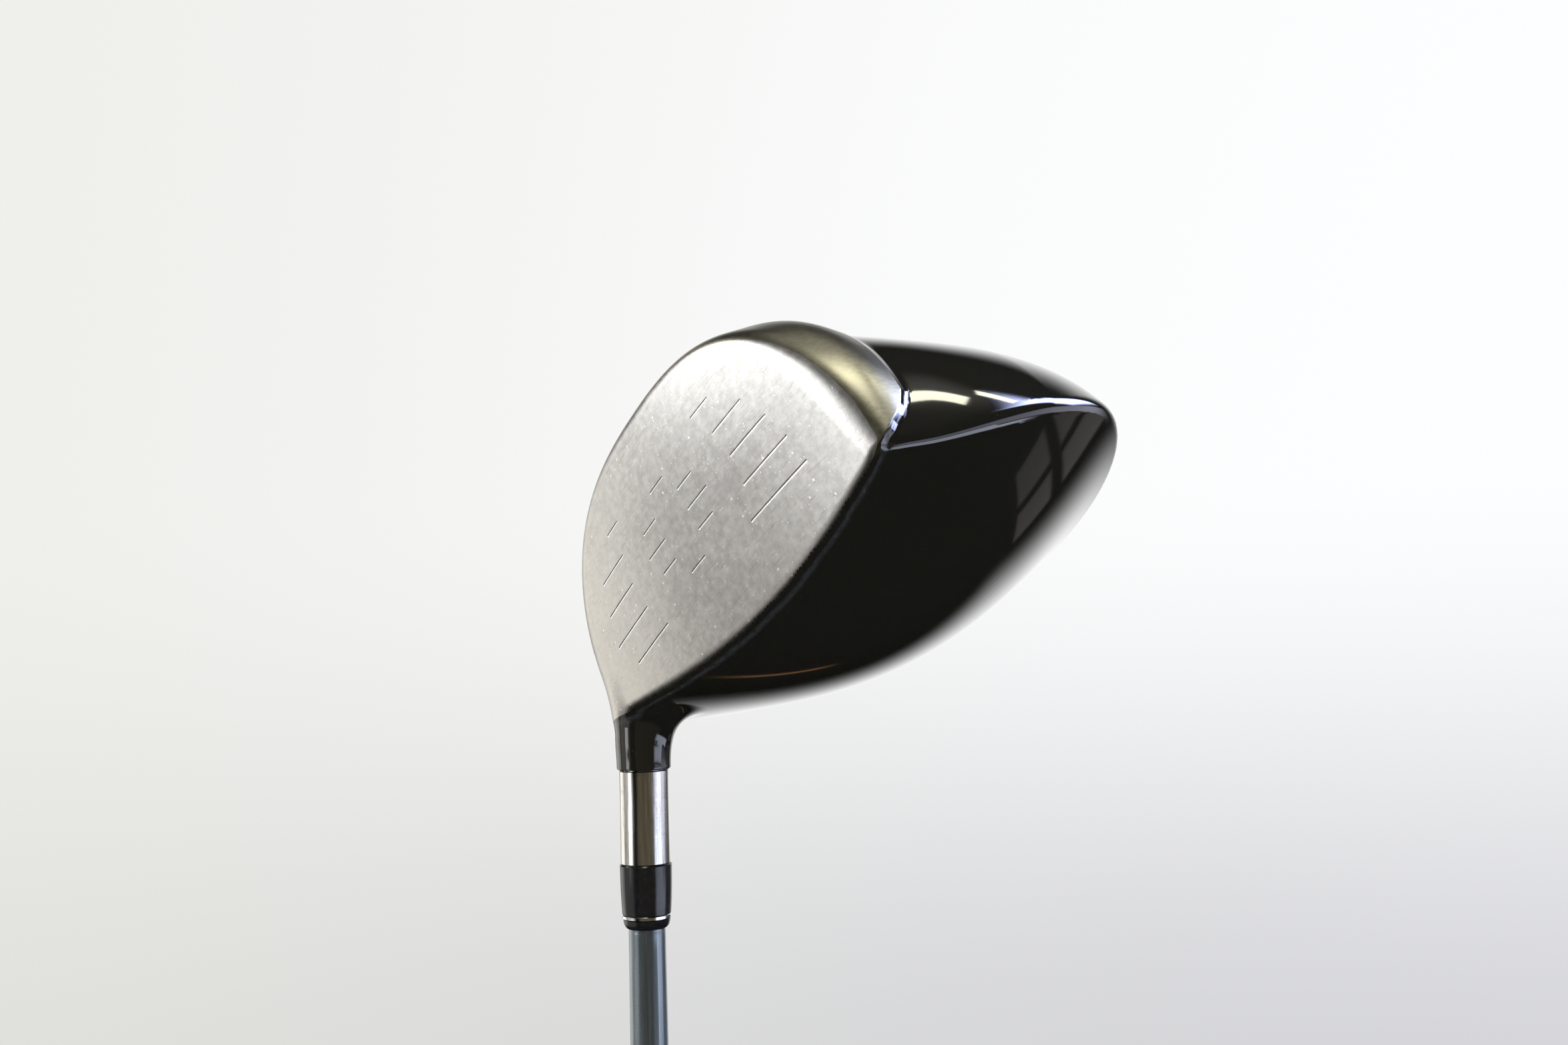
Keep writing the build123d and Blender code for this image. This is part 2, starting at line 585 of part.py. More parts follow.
with BuildPart() as bolt_washer:
    with BuildSketch(Plane.XY.offset(fz(WASHER[1]) + 0.02)):
        Circle(PORT_R - 0.15)
        Circle(BOLT_R + 0.1, mode=Mode.SUBTRACT)
    extrude(amount=WASHER[1] - WASHER[0] - 0.04)
    chamfer(bolt_washer.edges().filter_by(GeomType.CIRCLE).group_by(SortBy.RADIUS)[-1], 0.3)
save(bolt_washer.part, "bolt_washer")

with BuildPart() as bolt_retainer:
    with BuildSketch(Plane.XY.offset(fz(PORT_RING[1]))):
        Circle(PORT_R - 0.01)
        Circle(4.55, mode=Mode.SUBTRACT)
    extrude(amount=PORT_RING[1] - PORT_RING[0])
save(bolt_retainer.part, "bolt_retainer")

for name, (p, d) in ports.items():
    q = HEAD.from_local_coords(p)
    print(name, "port point", q, "direction", HEAD.from_local_coords(tuple(a + b for a, b in zip(p, d))) - q)
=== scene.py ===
import json
import math
import bpy
import numpy as np
from mathutils import Matrix, Vector


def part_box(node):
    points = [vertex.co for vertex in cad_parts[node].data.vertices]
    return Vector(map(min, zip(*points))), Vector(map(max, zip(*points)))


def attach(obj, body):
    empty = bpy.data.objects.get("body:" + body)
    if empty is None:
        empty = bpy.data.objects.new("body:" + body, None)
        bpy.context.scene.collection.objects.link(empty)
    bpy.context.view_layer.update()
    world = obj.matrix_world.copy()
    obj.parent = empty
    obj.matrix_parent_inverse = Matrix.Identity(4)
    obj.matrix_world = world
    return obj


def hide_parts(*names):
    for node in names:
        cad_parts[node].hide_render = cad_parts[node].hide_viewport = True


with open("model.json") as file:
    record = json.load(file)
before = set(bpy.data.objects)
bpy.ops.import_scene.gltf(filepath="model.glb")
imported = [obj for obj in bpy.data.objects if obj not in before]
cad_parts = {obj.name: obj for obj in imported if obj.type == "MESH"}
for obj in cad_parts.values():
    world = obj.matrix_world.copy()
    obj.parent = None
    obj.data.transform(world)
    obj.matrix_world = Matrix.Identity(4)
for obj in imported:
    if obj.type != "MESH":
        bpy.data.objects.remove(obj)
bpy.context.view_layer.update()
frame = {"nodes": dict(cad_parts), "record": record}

N = frame["nodes"]
rng = np.random.default_rng(7)

# ------------------------------------------------------------------ head frame and the shapes of the head
CLUB = 1143.0
LAM = math.radians(59.37)
SL, CL = math.sin(LAM), math.cos(LAM)
HR = np.array([[SL, 0, CL], [0, -1, 0], [CL, 0, -SL]])   # columns: head X, Y, Z in the club's frame
K = 0.95                                                 # design units to millimetres

CROWN = (61.6, 2.706, 13.504, -19.379, 3.059, -22.379, -2.256, 1.258, -0.808, -1.714, 1.697, 7.813, 6.463)
CX, CY, AT, AH, BR, PN, ZT, ZB, PM, SH = 34.23, -42.08, 58.94, 74.19, 59.76, 2.527, 48.43, -1.01, 2.158, 0.06
ATF, ET, AHF, EH, ZBF, EB, HB, YB, SY = 46.65, 1.5, 54.64, 3.76, -0.45, 3.4, 2.8, 3.0, 8.46
CXF, ZTF, PMF, FY = 28.82, 42.06, 2.646, 15.0
FC = np.array([29.0, 14.35, 29.98])
LOFT = math.radians(9.84)
FN = np.array([0, math.cos(LOFT), math.sin(LOFT)])
FZ = np.array([0, -math.sin(LOFT), math.cos(LOFT)])
RB, RR = 391.5, 312.6
AXIS = np.array([-CL, 0.0, SL])                          # along the shaft, away from the ground, in the head's frame


def to_row(P):
    """head frame (mm) to the club's frame (m)"""
    return (np.asarray(P) @ HR.T + np.array([0, 0, CLUB])) / 1000.0


def to_head(P):
    return (np.asarray(P) * 1000.0 - np.array([0, 0, CLUB])) @ HR


def vec_row(V):
    return np.asarray(V) @ HR.T


def crown_z(x, y):
    p, q = (x - 29) / 60, (y + 45) / 60
    c = CROWN
    return (c[0] + c[1] * p + c[2] * q + c[3] * p * p + c[4] * p * q + c[5] * q * q + c[6] * p ** 3 + c[7] * p * p * q
            + c[8] * p * q * q + c[9] * q ** 3 + c[10] * p ** 4 + c[11] * p * p * q * q + c[12] * q ** 4)


def crown_f(P):
    x, y, z = P[..., 0], P[..., 1], P[..., 2]
    h = 0.5
    z0 = crown_z(x, y)
    gx, gy = (crown_z(x + h, y) - z0) / h, (crown_z(x, y + h) - z0) / h
    return (z - z0) / np.sqrt(1 + gx * gx + gy * gy)


def face_f(P):
    q = P - FC
    u, v, w = q[..., 0], q @ FZ, q @ FN
    return w + u * u / (2 * RB) + v * v / (2 * RR)


def wall_g(P):
    x, y, z = P[..., 0], P[..., 1], P[..., 2]
    g = np.clip((y - CY) / (FY - CY), 0, 1.3)
    at = AT + (ATF - AT) * g ** ET
    ah = AH + (AHF - AH) * g ** EH
    zb = ZB + (ZBF - ZB) * g ** EB
    cc = CX + (CXF - CX) * g * g
    zt = ZT + (ZTF - ZT) * g * g
    m = PM + (PMF - PM) * g * g
    dx = x - cc - SH * (y - CY)
    X = np.where(dx > 0, dx / at, -dx / ah)
    Y = np.where(y < CY, (CY - y) / BR, 0)
    r = (np.abs(X) ** PN + Y ** PN) ** (1 / PN)
    w = np.clip((zt - z) / (zt - zb), 0, None)
    return (r ** m + w ** m) ** (1 / m) - 1


def wall_f(P):
    g0 = wall_g(P)
    h = 0.3
    g = np.stack([wall_g(P + np.array(e) * h) - g0 for e in ((1, 0, 0), (0, 1, 0), (0, 0, 1))], -1) / h
    return g0 / np.maximum(np.linalg.norm(g, axis=-1), 1e-4)


def smax(a, b, k):
    h = np.clip(0.5 + 0.5 * (a - b) / k, 0, 1)
    return b * (1 - h) + a * h + k * h * (1 - h)


def smin(a, b, k):
    return -smax(-a, -b, k)


def smooth(a, b, x):
    t = np.clip((x - a) / (b - a), 0, 1)
    return t * t * (3 - 2 * t)


BAND_Z = np.array([-20, 38.5, 39.8, 42.6, 44.9, 46.8, 48.6, 49.9, 50.9, 52.6, 60])
BAND_YZ = np.array([-4.5, -4.5, -3.8, -2.2, -0.4, 1.5, 2.9, 4.4, 5.3, 5.8, 6.6])


def band_edge(P):
    """positive ahead of the toe band's rear edge"""
    return P[..., 1] - np.interp(P[..., 2], BAND_Z, BAND_YZ)


def bulge(P):
    x, y = P[..., 0], P[..., 1]
    soft = HB * np.exp(-((y - YB) / SY) ** 2) / (1 + np.exp(-(x - 45) / 6.0))
    e = band_edge(P)
    return soft * (0.40 + 0.60 * smooth(-2.6, 0.4, e))


def neck_f(P):
    """P in design units; the neck as a round bar about the shaft axis, flared towards the head"""
    t = P @ AXIS
    rho = np.linalg.norm(P - t[..., None] * AXIS, axis=-1)
    r = 6.72 + 0.25 * smooth(66.0, 60.0, t)
    side = rho - r
    return smax(smax(side, t - 67.0, 0.5), 38.0 - t, 2.0)


def head_f(P):
    body = smax(smax(wall_f(P) - bulge(P), face_f(P), 3.79), crown_f(P), 2.2)
    k = 3.2 + 6.3 * smooth(7.5, -4.0, P[..., 1])
    return smin(body, neck_f(P), k)


def F(P):
    """signed distance-like function of the outer skin of the head; P in mm in the head's frame"""
    return head_f(np.asarray(P) / K) * K


def grad(f, P, h=0.05):
    g = np.stack([f(P + np.array(e) * h) - f(P - np.array(e) * h) for e in ((1, 0, 0), (0, 1, 0), (0, 0, 1))], -1) / (2 * h)
    return g


def project(f, P, n=4):
    for _ in range(n):
        g = grad(f, P)
        v = f(P)
        P = P - g * (v / np.maximum((g * g).sum(-1), 1e-6))[:, None]
    return P


def surface_net(f, lo, hi, h):
    """one vertex in each cell that the surface crosses, one quad on each crossed edge"""
    lo = np.array(lo, float)
    n = np.ceil((np.array(hi) - lo) / h).astype(int) + 1
    ax = [lo[i] + h * np.arange(n[i]) for i in range(3)]
    G = np.stack(np.meshgrid(*ax, indexing="ij"), -1)
    V = f(G.reshape(-1, 3)).reshape(G.shape[:3])
    S = V < 0
    ids = -np.ones(tuple(n - 1), int)
    acc = np.zeros(tuple(n - 1) + (3,))
    cnt = np.zeros(tuple(n - 1))
    for axis in range(3):
        a = [slice(None)] * 3
        b = [slice(None)] * 3
        a[axis], b[axis] = slice(0, -1), slice(1, None)
        cross = S[tuple(a)] != S[tuple(b)]
        va, vb = V[tuple(a)], V[tuple(b)]
        t = np.where(cross, va / np.where(va == vb, 1, va - vb), 0)
        pos = G[tuple(a)] * (1 - t[..., None]) + G[tuple(b)] * t[..., None]
        o1, o2 = [i for i in range(3) if i != axis]
        for d1 in (0, 1):
            for d2 in (0, 1):
                sl = [slice(None)] * 3
                sl[o1] = slice(1, None) if d1 == 0 else slice(0, -1)
                sl[o2] = slice(1, None) if d2 == 0 else slice(0, -1)
                # cell (c) holds the edge at offset (1-d) on the other two axes
                src = [slice(None)] * 3
                src[o1] = slice(1 - d1, n[o1] - d1) if True else None
                src[o2] = slice(1 - d2, n[o2] - d2)
                cc = cross[tuple(src)]
                pp = pos[tuple(src)]
                acc += np.where(cc[..., None], pp, 0)
                cnt += cc
    used = cnt > 0
    ids[used] = np.arange(used.sum())
    verts = acc[used] / cnt[used][:, None]
    quads = []
    for axis in range(3):
        a = [slice(None)] * 3
        b = [slice(None)] * 3
        a[axis], b[axis] = slice(0, -1), slice(1, None)
        sa, sb = S[tuple(a)], S[tuple(b)]
        o1, o2 = (axis + 1) % 3, (axis + 2) % 3
        idx = np.argwhere(sa != sb)
        idx = idx[(idx[:, o1] > 0) & (idx[:, o2] > 0) & (idx[:, o1] < n[o1] - 1) & (idx[:, o2] < n[o2] - 1)]
        e1 = np.zeros(3, int); e1[o1] = 1
        e2 = np.zeros(3, int); e2[o2] = 1
        q = np.stack([ids[tuple((idx - e1 - e2).T)], ids[tuple((idx - e2).T)], ids[tuple(idx.T)], ids[tuple((idx - e1).T)]], 1)
        flip = ~sa[tuple(idx.T)]
        q[flip] = q[flip][:, ::-1]
        quads.append(q)
    return verts, np.concatenate(quads)


def split(V, T, s, snap=None):
    """cut a triangle mesh where the per-vertex value s changes sign; returns (V, triangles with s<0, triangles with s>0, s)"""
    s = s.copy()
    s[np.abs(s) < 1e-6] = 1e-6
    neg = s < 0
    kind = neg[T].sum(1)
    mixed = T[(kind == 1) | (kind == 2)]
    out = {0: [T[kind == 0]], 3: [T[kind == 3]]}
    cache, newv = {}, []
    base = len(V)
    negt, post = [], []

    def cut(a, b):
        key = (a, b) if a < b else (b, a)
        if key not in cache:
            t = s[a] / (s[a] - s[b])
            cache[key] = base + len(newv)
            newv.append(V[a] * (1 - t) + V[b] * t)
        return cache[key]

    for tri in mixed:
        n = neg[tri]
        lone = int(np.argmax(n)) if n.sum() == 1 else int(np.argmin(n))
        a, b, c = tri[lone], tri[(lone + 1) % 3], tri[(lone + 2) % 3]
        ab, ac = cut(a, b), cut(a, c)
        one, two = [(a, ab, ac)], [(ab, b, c), (ab, c, ac)]
        if n[lone]:
            negt += one; post += two
        else:
            post += one; negt += two
    V2 = np.concatenate([V, np.array(newv)]) if newv else V
    A = np.concatenate([T[kind == 3]] + ([np.array(negt)] if negt else []))
    B = np.concatenate([T[kind == 0]] + ([np.array(post)] if post else []))
    s2 = np.concatenate([s, np.zeros(len(newv))])
    return V2, A, B, s2


def compact(V, T, *extra):
    used = np.unique(T)
    m = -np.ones(len(V), int)
    m[used] = np.arange(len(used))
    return (V[used], m[T]) + tuple(e[used] for e in extra)


def refine(f, V, T, want, passes):
    """halve the edges that want(midpoint, length) asks for, keeping the mesh whole; new points go onto f = 0"""
    for _ in range(passes):
        E = np.sort(np.concatenate([T[:, [0, 1]], T[:, [1, 2]], T[:, [2, 0]]]), 1)
        U, inv = np.unique(E, axis=0, return_inverse=True)
        inv = inv.reshape(-1)
        mid = (V[U[:, 0]] + V[U[:, 1]]) / 2
        ln = np.linalg.norm(V[U[:, 0]] - V[U[:, 1]], axis=1)
        m = want(mid, ln)
        if not m.any():
            break
        new = -np.ones(len(U), int)
        new[m] = len(V) + np.arange(m.sum())
        V = np.concatenate([V, project(f, mid[m], 2)])
        n = len(T)
        M = np.stack([new[inv[:n]], new[inv[n:2 * n]], new[inv[2 * n:]]], 1)
        k = (M >= 0).sum(1)
        out = [T[k == 0]]
        a = T[k == 3]
        if len(a):
            q = M[k == 3]
            out += [np.stack([a[:, 0], q[:, 0], q[:, 2]], 1), np.stack([a[:, 1], q[:, 1], q[:, 0]], 1),
                    np.stack([a[:, 2], q[:, 2], q[:, 1]], 1), q]
        for r in range(3):
            one = (k == 1) & (M[:, r] >= 0)
            if one.any():
                t, q = np.roll(T[one], -r, axis=1), M[one, r]
                out += [np.stack([t[:, 0], q, t[:, 2]], 1), np.stack([q, t[:, 1], t[:, 2]], 1)]
            two = (k == 2) & (M[:, r] < 0)           # the side r is whole
            if two.any():
                t, q = np.roll(T[two], -r, axis=1), np.roll(M[two], -r, axis=1)
                out += [np.stack([t[:, 0], t[:, 1], q[:, 2]], 1), np.stack([t[:, 1], q[:, 1], q[:, 2]], 1),
                        np.stack([q[:, 1], t[:, 2], q[:, 2]], 1)]
        T = np.concatenate(out)
    return V, T


# ------------------------------------------------------------------ score lines, paint edges, ports
SCORE_W, SCORE_D = 0.50, 0.12
FCS = FC * K
score = [(0, 10.28, 6.3), (0, -10.28, 6.3), (8.23, 5.14, 6.36), (-8.23, 5.14, 6.36), (8.23, -5.14, 6.36),
         (-8.23, -5.14, 6.36), (9.25, 0, 8.55), (-9.25, 0, 8.55)]
for k, (a, b, c_, d_) in enumerate([(17.8, 25.0, 17.4, 23.5), (21.1, 32.6, 20.4, 33.9), (22.2, 36.1, 21.8, 37.2),
                                    (21.3, 38.2, 20.7, 40.1), (17.8, 39.4, 17.2, 35.8)]):
    v = (k - 2) * 6.70 - 0.1
    score.append(((a + b) / 2, v, b - a))
    score.append((-(c_ + d_) / 2, v, d_ - c_))


def score_dist(P):
    q = P - FCS
    u, v = q[..., 0], q @ FZ
    d = np.full(u.shape, 99.0)
    for (u0, v0, ln) in score:
        du = np.maximum(np.abs(u - u0 - 0.3) - ln * 0.44, 0)
        d = np.minimum(d, np.hypot(du, v - v0))
    return np.where(P[..., 1] > 0, d, 99.0)


def FS(P):
    """the skin with its score lines cut in"""
    d = score_dist(P)
    return F(P) + SCORE_D * smooth(SCORE_W / 2 + 0.04, SCORE_W / 2 - 0.14, d)


TH = np.array([-180, -150, -60, -35, -27.8, -21.2, -13.7, -5.9, 2.0, 10.3, 15.3, 19.1, 21.5, 24.6, 34.7, 40, 50, 70, 97, 124, 145,
               157.3, 161.2, 164.5, 166.5, 170, 180])
TC = np.array([0.35, 0.35, 0.30, 0.30, 0.42, 0.70, 1.32, 1.72, 1.91, 1.84, 1.45, 1.05, 0.62, 0.49, 0.52, 0.38, 0.41, 0.43, 0.50, 0.49,
               0.66, 0.66, 0.6, 0.5, 0.5, 0.45, 0.35])


def theta(P):
    return np.degrees(np.arctan2(P[..., 2] / K - 30.0, P[..., 0] / K - 29.0))


def hash1(n):
    return np.modf(np.abs(np.sin(n * 12.9898 + 4.1) * 43758.5453))[0]


def chips(P):
    """ragged edge of the lacquer along the top of the face, in mm"""
    th = theta(P)
    s = P[..., 0] * 1.0 + 0.35 * P[..., 2]
    k = np.floor(s / 1.02)
    ph = s / 1.02 - k
    saw = np.abs(ph - 0.35 - 0.3 * hash1(k)) * 2
    amp = (0.16 + 0.34 * hash1(k + 7)) * smooth(22, 27, th) * smooth(168, 150, th)
    slow = 0.14 * np.sin(s * 0.41 + 0.6) + 0.10 * np.sin(s * 1.13 + 2.0)
    return amp * (saw - 0.5) + slow * smooth(22, 27, th) * smooth(168, 150, th)


def face_sel(P):
    """positive on the bare face plate"""
    Q = P / K
    s = face_f(Q) + np.interp(theta(P), TH, TC)
    heel = 46.3 + 0.235 * (Q[..., 0] + 29.6) - Q[..., 2]
    s = np.where(Q[..., 0] < -8, np.minimum(s, heel), s)
    return s * K + np.where(P[..., 1] > -2, chips(P) * 0.55, 0)


def band_sel(P):
    """positive on the casting round the face"""
    Q = P / K
    th = theta(P)
    s = band_edge(Q)
    s = np.minimum(s, np.where((th > 0) & (th < 90), (23.5 - th) * 0.9, 99))
    s = np.minimum(s, np.where(Q[..., 0] < 0, 30.0 - Q[..., 2], 99))
    return np.minimum(s, np.where((th >= 90), 30.0 - Q[..., 2], 99)) * K


def crown_sel(P):
    """positive on the crown shell and the neck"""
    Q = P / K
    t = Q @ AXIS
    return np.maximum(crown_f(Q) + 0.9, np.where((Q[..., 0] < -5), np.minimum(t - 50.0, 8 - np.abs(Q[..., 1])), -9))


PORTS = []
for c_, d_ in (((53.6643, 38.0, 1170.13), (0.05044, 0.08009, 0.99551)), ((2.07059, 40.0, 1140.48), (-0.87924, 0.09986, 0.46579))):
    PORTS.append(((np.array(c_) - np.array([0, 0, CLUB])) @ HR, np.array(d_) @ HR))


def port_dist(P, k):
    o, d = PORTS[k]
    q = P - o
    h = q @ d
    return np.linalg.norm(q - h[..., None] * d, axis=-1), h
# ---- END OF SHAPES


# ------------------------------------------------------------------ meshes
def mesh_object(name, V, faces, normals=None, attrs=None, mats=(), body="head", replaces=()):
    """V in metres in the club's frame; normals one per corner (faces in order)"""
    me = bpy.data.meshes.new(name)
    me.from_pydata(V.tolist() if hasattr(V, "tolist") else V, [], faces)
    me.update()
    for p in me.polygons:
        p.use_smooth = True
    for k, a in (attrs or {}).items():
        if a.ndim == 1:
            me.attributes.new(k, "FLOAT", "POINT").data.foreach_set("value", a.astype(np.float32))
        else:
            me.attributes.new(k, "FLOAT_VECTOR", "POINT").data.foreach_set("vector", a.astype(np.float32).ravel())
    if normals is not None:
        me.normals_split_custom_set(normals)
    ob = bpy.data.objects.new(name, me)
    bpy.context.scene.collection.objects.link(ob)
    for m in mats:
        me.materials.append(m)
    if body:
        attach(ob, body)
        if replaces:
            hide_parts(*replaces)
    return ob


def shell_object(name, V, T, f, thick, attrs_fn, mat, replaces, body="head"):
    """closed shell from a piece of the skin: outer face with exact normals, inner face set in by thick (mm), rim between"""
    V, T = compact(V, T)[:2]
    n = grad(f, V, 0.02)
    n /= np.linalg.norm(n, axis=1)[:, None]
    W = V - n * thick
    t = W @ AXIS
    q = W - t[:, None] * AXIS
    rho = np.linalg.norm(q, axis=1)
    k = np.where((t < 20) & (rho < 5.3), 5.3 / np.maximum(rho, 0.1), 1.0)                  # the bolt's bore stays clear
    W = t[:, None] * AXIS + q * k[:, None]
    nv = len(V)
    E = np.concatenate([T[:, [0, 1]], T[:, [1, 2]], T[:, [2, 0]]])
    key = np.sort(E, 1)
    U, inv, cnt = np.unique(key, axis=0, return_inverse=True, return_counts=True)
    rim = E[cnt[inv.reshape(-1)] == 1]
    faces = [tuple(t) for t in T.tolist()] + [tuple(t[::-1]) for t in (T + nv).tolist()]
    faces += [(b, a, a + nv, b + nv) for a, b in rim.tolist()]
    P = np.concatenate([V, W])
    nr, ni = vec_row(n), -vec_row(n)
    cn = list(map(tuple, nr[T.reshape(-1)])) + list(map(tuple, ni[T[:, ::-1].reshape(-1)]))
    PR = to_row(P)
    if len(rim):
        a, b = rim[:, 0], rim[:, 1]
        fn = np.cross(PR[a] - PR[b], PR[a + nv] - PR[b])
        ln = np.linalg.norm(fn, axis=1)
        fn = np.where(ln[:, None] > 1e-14, fn / np.maximum(ln, 1e-14)[:, None], nr[a])
        cn += list(map(tuple, np.repeat(fn, 4, axis=0)))
    attrs = {"hp": P / 10.0}
    attrs.update(attrs_fn(P))
    return mesh_object(name, PR, faces, cn, attrs, [mat], body, replaces)


def lathe(name, prof, seg, mat, replaces=(), body="club", center=(0, 0), bumps=None, closed=True):
    """round piece about the shaft axis; prof is (radius mm, height mm) from the bottom outside to the top and back inside"""
    prof = np.array(prof, float)
    m = len(prof)
    ang = 2 * np.pi * np.arange(seg) / seg
    A, I = np.meshgrid(ang, np.arange(m))
    r, z = prof[I, 0], prof[I, 1]
    if bumps is not None:
        r = r - bumps(A, z, r)
    V = np.stack([r * np.cos(A), r * np.sin(A), z], -1).reshape(-1, 3) / 1000.0
    faces = []
    rows = m if closed else m - 1
    for i in range(rows):
        j = (i + 1) % m
        for k in range(seg):
            l = (k + 1) % seg
            faces.append((i * seg + k, i * seg + l, j * seg + l, j * seg + k))
    ob = mesh_object(name, V, faces, None, {"hp": V * 100.0}, [mat], body, replaces)
    return ob


def crease(ob, angle):
    ob.data.set_sharp_from_angle(angle=math.radians(angle))
    return ob


# ------------------------------------------------------------------ materials
def nodes(name):
    m = bpy.data.materials.new(name)
    m.use_nodes = True
    nt = m.node_tree
    b = nt.nodes["Principled BSDF"]
    return m, nt, b


def nn(nt, kind, **kw):
    n = nt.nodes.new(kind)
    for k, v in kw.items():
        if k.startswith("i_"):
            n.inputs[k[2:].replace("_", " ")].default_value = v
        else:
            setattr(n, k, v)
    return n


def coords(nt, attr=None):
    if attr:
        return nn(nt, "ShaderNodeAttribute", attribute_name=attr).outputs["Vector"]
    t = nn(nt, "ShaderNodeTexCoord")
    s = nn(nt, "ShaderNodeVectorMath", operation="SCALE")
    s.inputs["Scale"].default_value = 100.0
    nt.links.new(t.outputs["Object"], s.inputs[0])
    return s.outputs[0]


def noise(nt, co, scale, detail=4, rough=0.55, stretch=None, dist=0.0):
    if stretch is not None:
        mp = nn(nt, "ShaderNodeMapping")
        mp.inputs["Scale"].default_value = stretch
        nt.links.new(co, mp.inputs["Vector"])
        co = mp.outputs[0]
    n = nn(nt, "ShaderNodeTexNoise")
    n.inputs["Scale"].default_value = scale
    n.inputs["Detail"].default_value = detail
    n.inputs["Roughness"].default_value = rough
    n.inputs["Distortion"].default_value = dist
    nt.links.new(co, n.inputs["Vector"])
    return n.outputs["Fac"]


def ramp(nt, fac, a, b, lo=0.0, hi=1.0):
    r = nn(nt, "ShaderNodeMapRange", interpolation_type="SMOOTHSTEP")
    for i, v in enumerate((a, b, lo, hi)):
        r.inputs[i + 1].default_value = v
    nt.links.new(fac, r.inputs[0])
    return r.outputs[0]


def mth(nt, op, a, b=None, c=None):
    m = nn(nt, "ShaderNodeMath", operation=op)
    for i, v in enumerate((a, b, c)):
        if v is None:
            continue
        if isinstance(v, (int, float)):
            m.inputs[i].default_value = v
        else:
            nt.links.new(v, m.inputs[i])
    return m.outputs[0]


def mix(nt, fac, a, b):
    m = nn(nt, "ShaderNodeMix", data_type="RGBA")
    for sock, v in ((m.inputs[0], fac), (m.inputs[6], a), (m.inputs[7], b)):
        if isinstance(v, (int, float)):
            sock.default_value = v
        elif isinstance(v, tuple):
            sock.default_value = v if len(v) == 4 else v + (1.0,)
        else:
            nt.links.new(v, sock)
    return m.outputs[2]


def bump(nt, b, height, dist, strength=1.0, chain=None):
    n = nn(nt, "ShaderNodeBump")
    n.inputs["Strength"].default_value = strength
    n.inputs["Distance"].default_value = dist
    nt.links.new(height, n.inputs["Height"])
    if chain is not None:
        nt.links.new(chain, n.inputs["Normal"])
    nt.links.new(n.outputs[0], b.inputs["Normal"])
    return n.outputs[0]


def lk(nt, out, b, name):
    nt.links.new(out, b.inputs[name])


def spots(nt, co, scale, radius, keep, stretch=None):
    """scattered small marks: 1 inside a mark; radius in cell units, keep = share of cells that have one"""
    if stretch is not None:
        mp = nn(nt, "ShaderNodeMapping")
        mp.inputs["Scale"].default_value = stretch
        nt.links.new(co, mp.inputs["Vector"])
        co = mp.outputs[0]
    v = nn(nt, "ShaderNodeTexVoronoi")
    v.inputs["Scale"].default_value = scale
    nt.links.new(co, v.inputs["Vector"])
    inside = ramp(nt, v.outputs["Distance"], radius, radius * 0.4)
    sep = nn(nt, "ShaderNodeSeparateColor")
    nt.links.new(v.outputs["Color"], sep.inputs[0])
    return mth(nt, "MULTIPLY", inside, mth(nt, "LESS_THAN", sep.outputs[0], keep))


def mat_face():
    m, nt, b = nodes("face_titanium")
    co = coords(nt, "hp")
    big = noise(nt, co, 0.55, 3)
    mid = noise(nt, co, 5.5, 6, 0.68)
    fine = noise(nt, co, 22, 4, 0.6)
    brush = noise(nt, co, 9, 5, 0.7, (0.10, 1.0, 2.4))
    scr = noise(nt, co, 26, 2, 0.5, (0.06, 1.0, 1.2), 0.6)
    sep = nn(nt, "ShaderNodeSeparateXYZ")
    nt.links.new(co, sep.inputs[0])
    # painted reflection: the face is made lighter and warmer towards the heel, standing in for the warm light it
    # reflects there
    heel_warm_reflection = ramp(nt, sep.outputs[0], 2.5, -2.6)
    base = mix(nt, ramp(nt, mid, 0.30, 0.72), (0.500, 0.490, 0.470), (0.640, 0.635, 0.620))
    base = mix(nt, mth(nt, "MULTIPLY", heel_warm_reflection, 0.5), base, (0.60, 0.555, 0.49))
    smudge = noise(nt, co, 1.6, 5, 0.7, (0.6, 1.0, 1.0), 0.8)
    base = mix(nt, mth(nt, "MULTIPLY", ramp(nt, smudge, 0.52, 0.70), 0.35), base, (0.44, 0.435, 0.43))
    base = mix(nt, mth(nt, "MULTIPLY", ramp(nt, scr, 0.60, 0.70), 0.45), base, (0.34, 0.33, 0.32))
    ding = spots(nt, co, 4.2, 0.16, 0.42)
    ding2 = spots(nt, co, 12.0, 0.20, 0.34, (1.0, 1.0, 0.55))
    bright = mth(nt, "MAXIMUM", ding, mth(nt, "MULTIPLY", ding2, 0.7))
    base = mix(nt, bright, base, (0.86, 0.85, 0.83))
    groove = nn(nt, "ShaderNodeAttribute", attribute_name="groove").outputs["Fac"]
    base = mix(nt, ramp(nt, groove, 0.35, 0.8), base, (0.97, 0.99, 0.99))
    lk(nt, base, b, "Base Color")
    b.inputs["Metallic"].default_value = 1.0
    r = mth(nt, "MULTIPLY_ADD", mid, 0.13, 0.20)
    r = mth(nt, "MULTIPLY_ADD", big, 0.12, r)
    lk(nt, r, b, "Roughness")
    h = mth(nt, "MULTIPLY_ADD", brush, 0.7, mth(nt, "MULTIPLY", fine, 0.35))
    h = mth(nt, "MULTIPLY_ADD", bright, -0.8, h)
    bump(nt, b, h, 0.00004, 0.55)
    return m


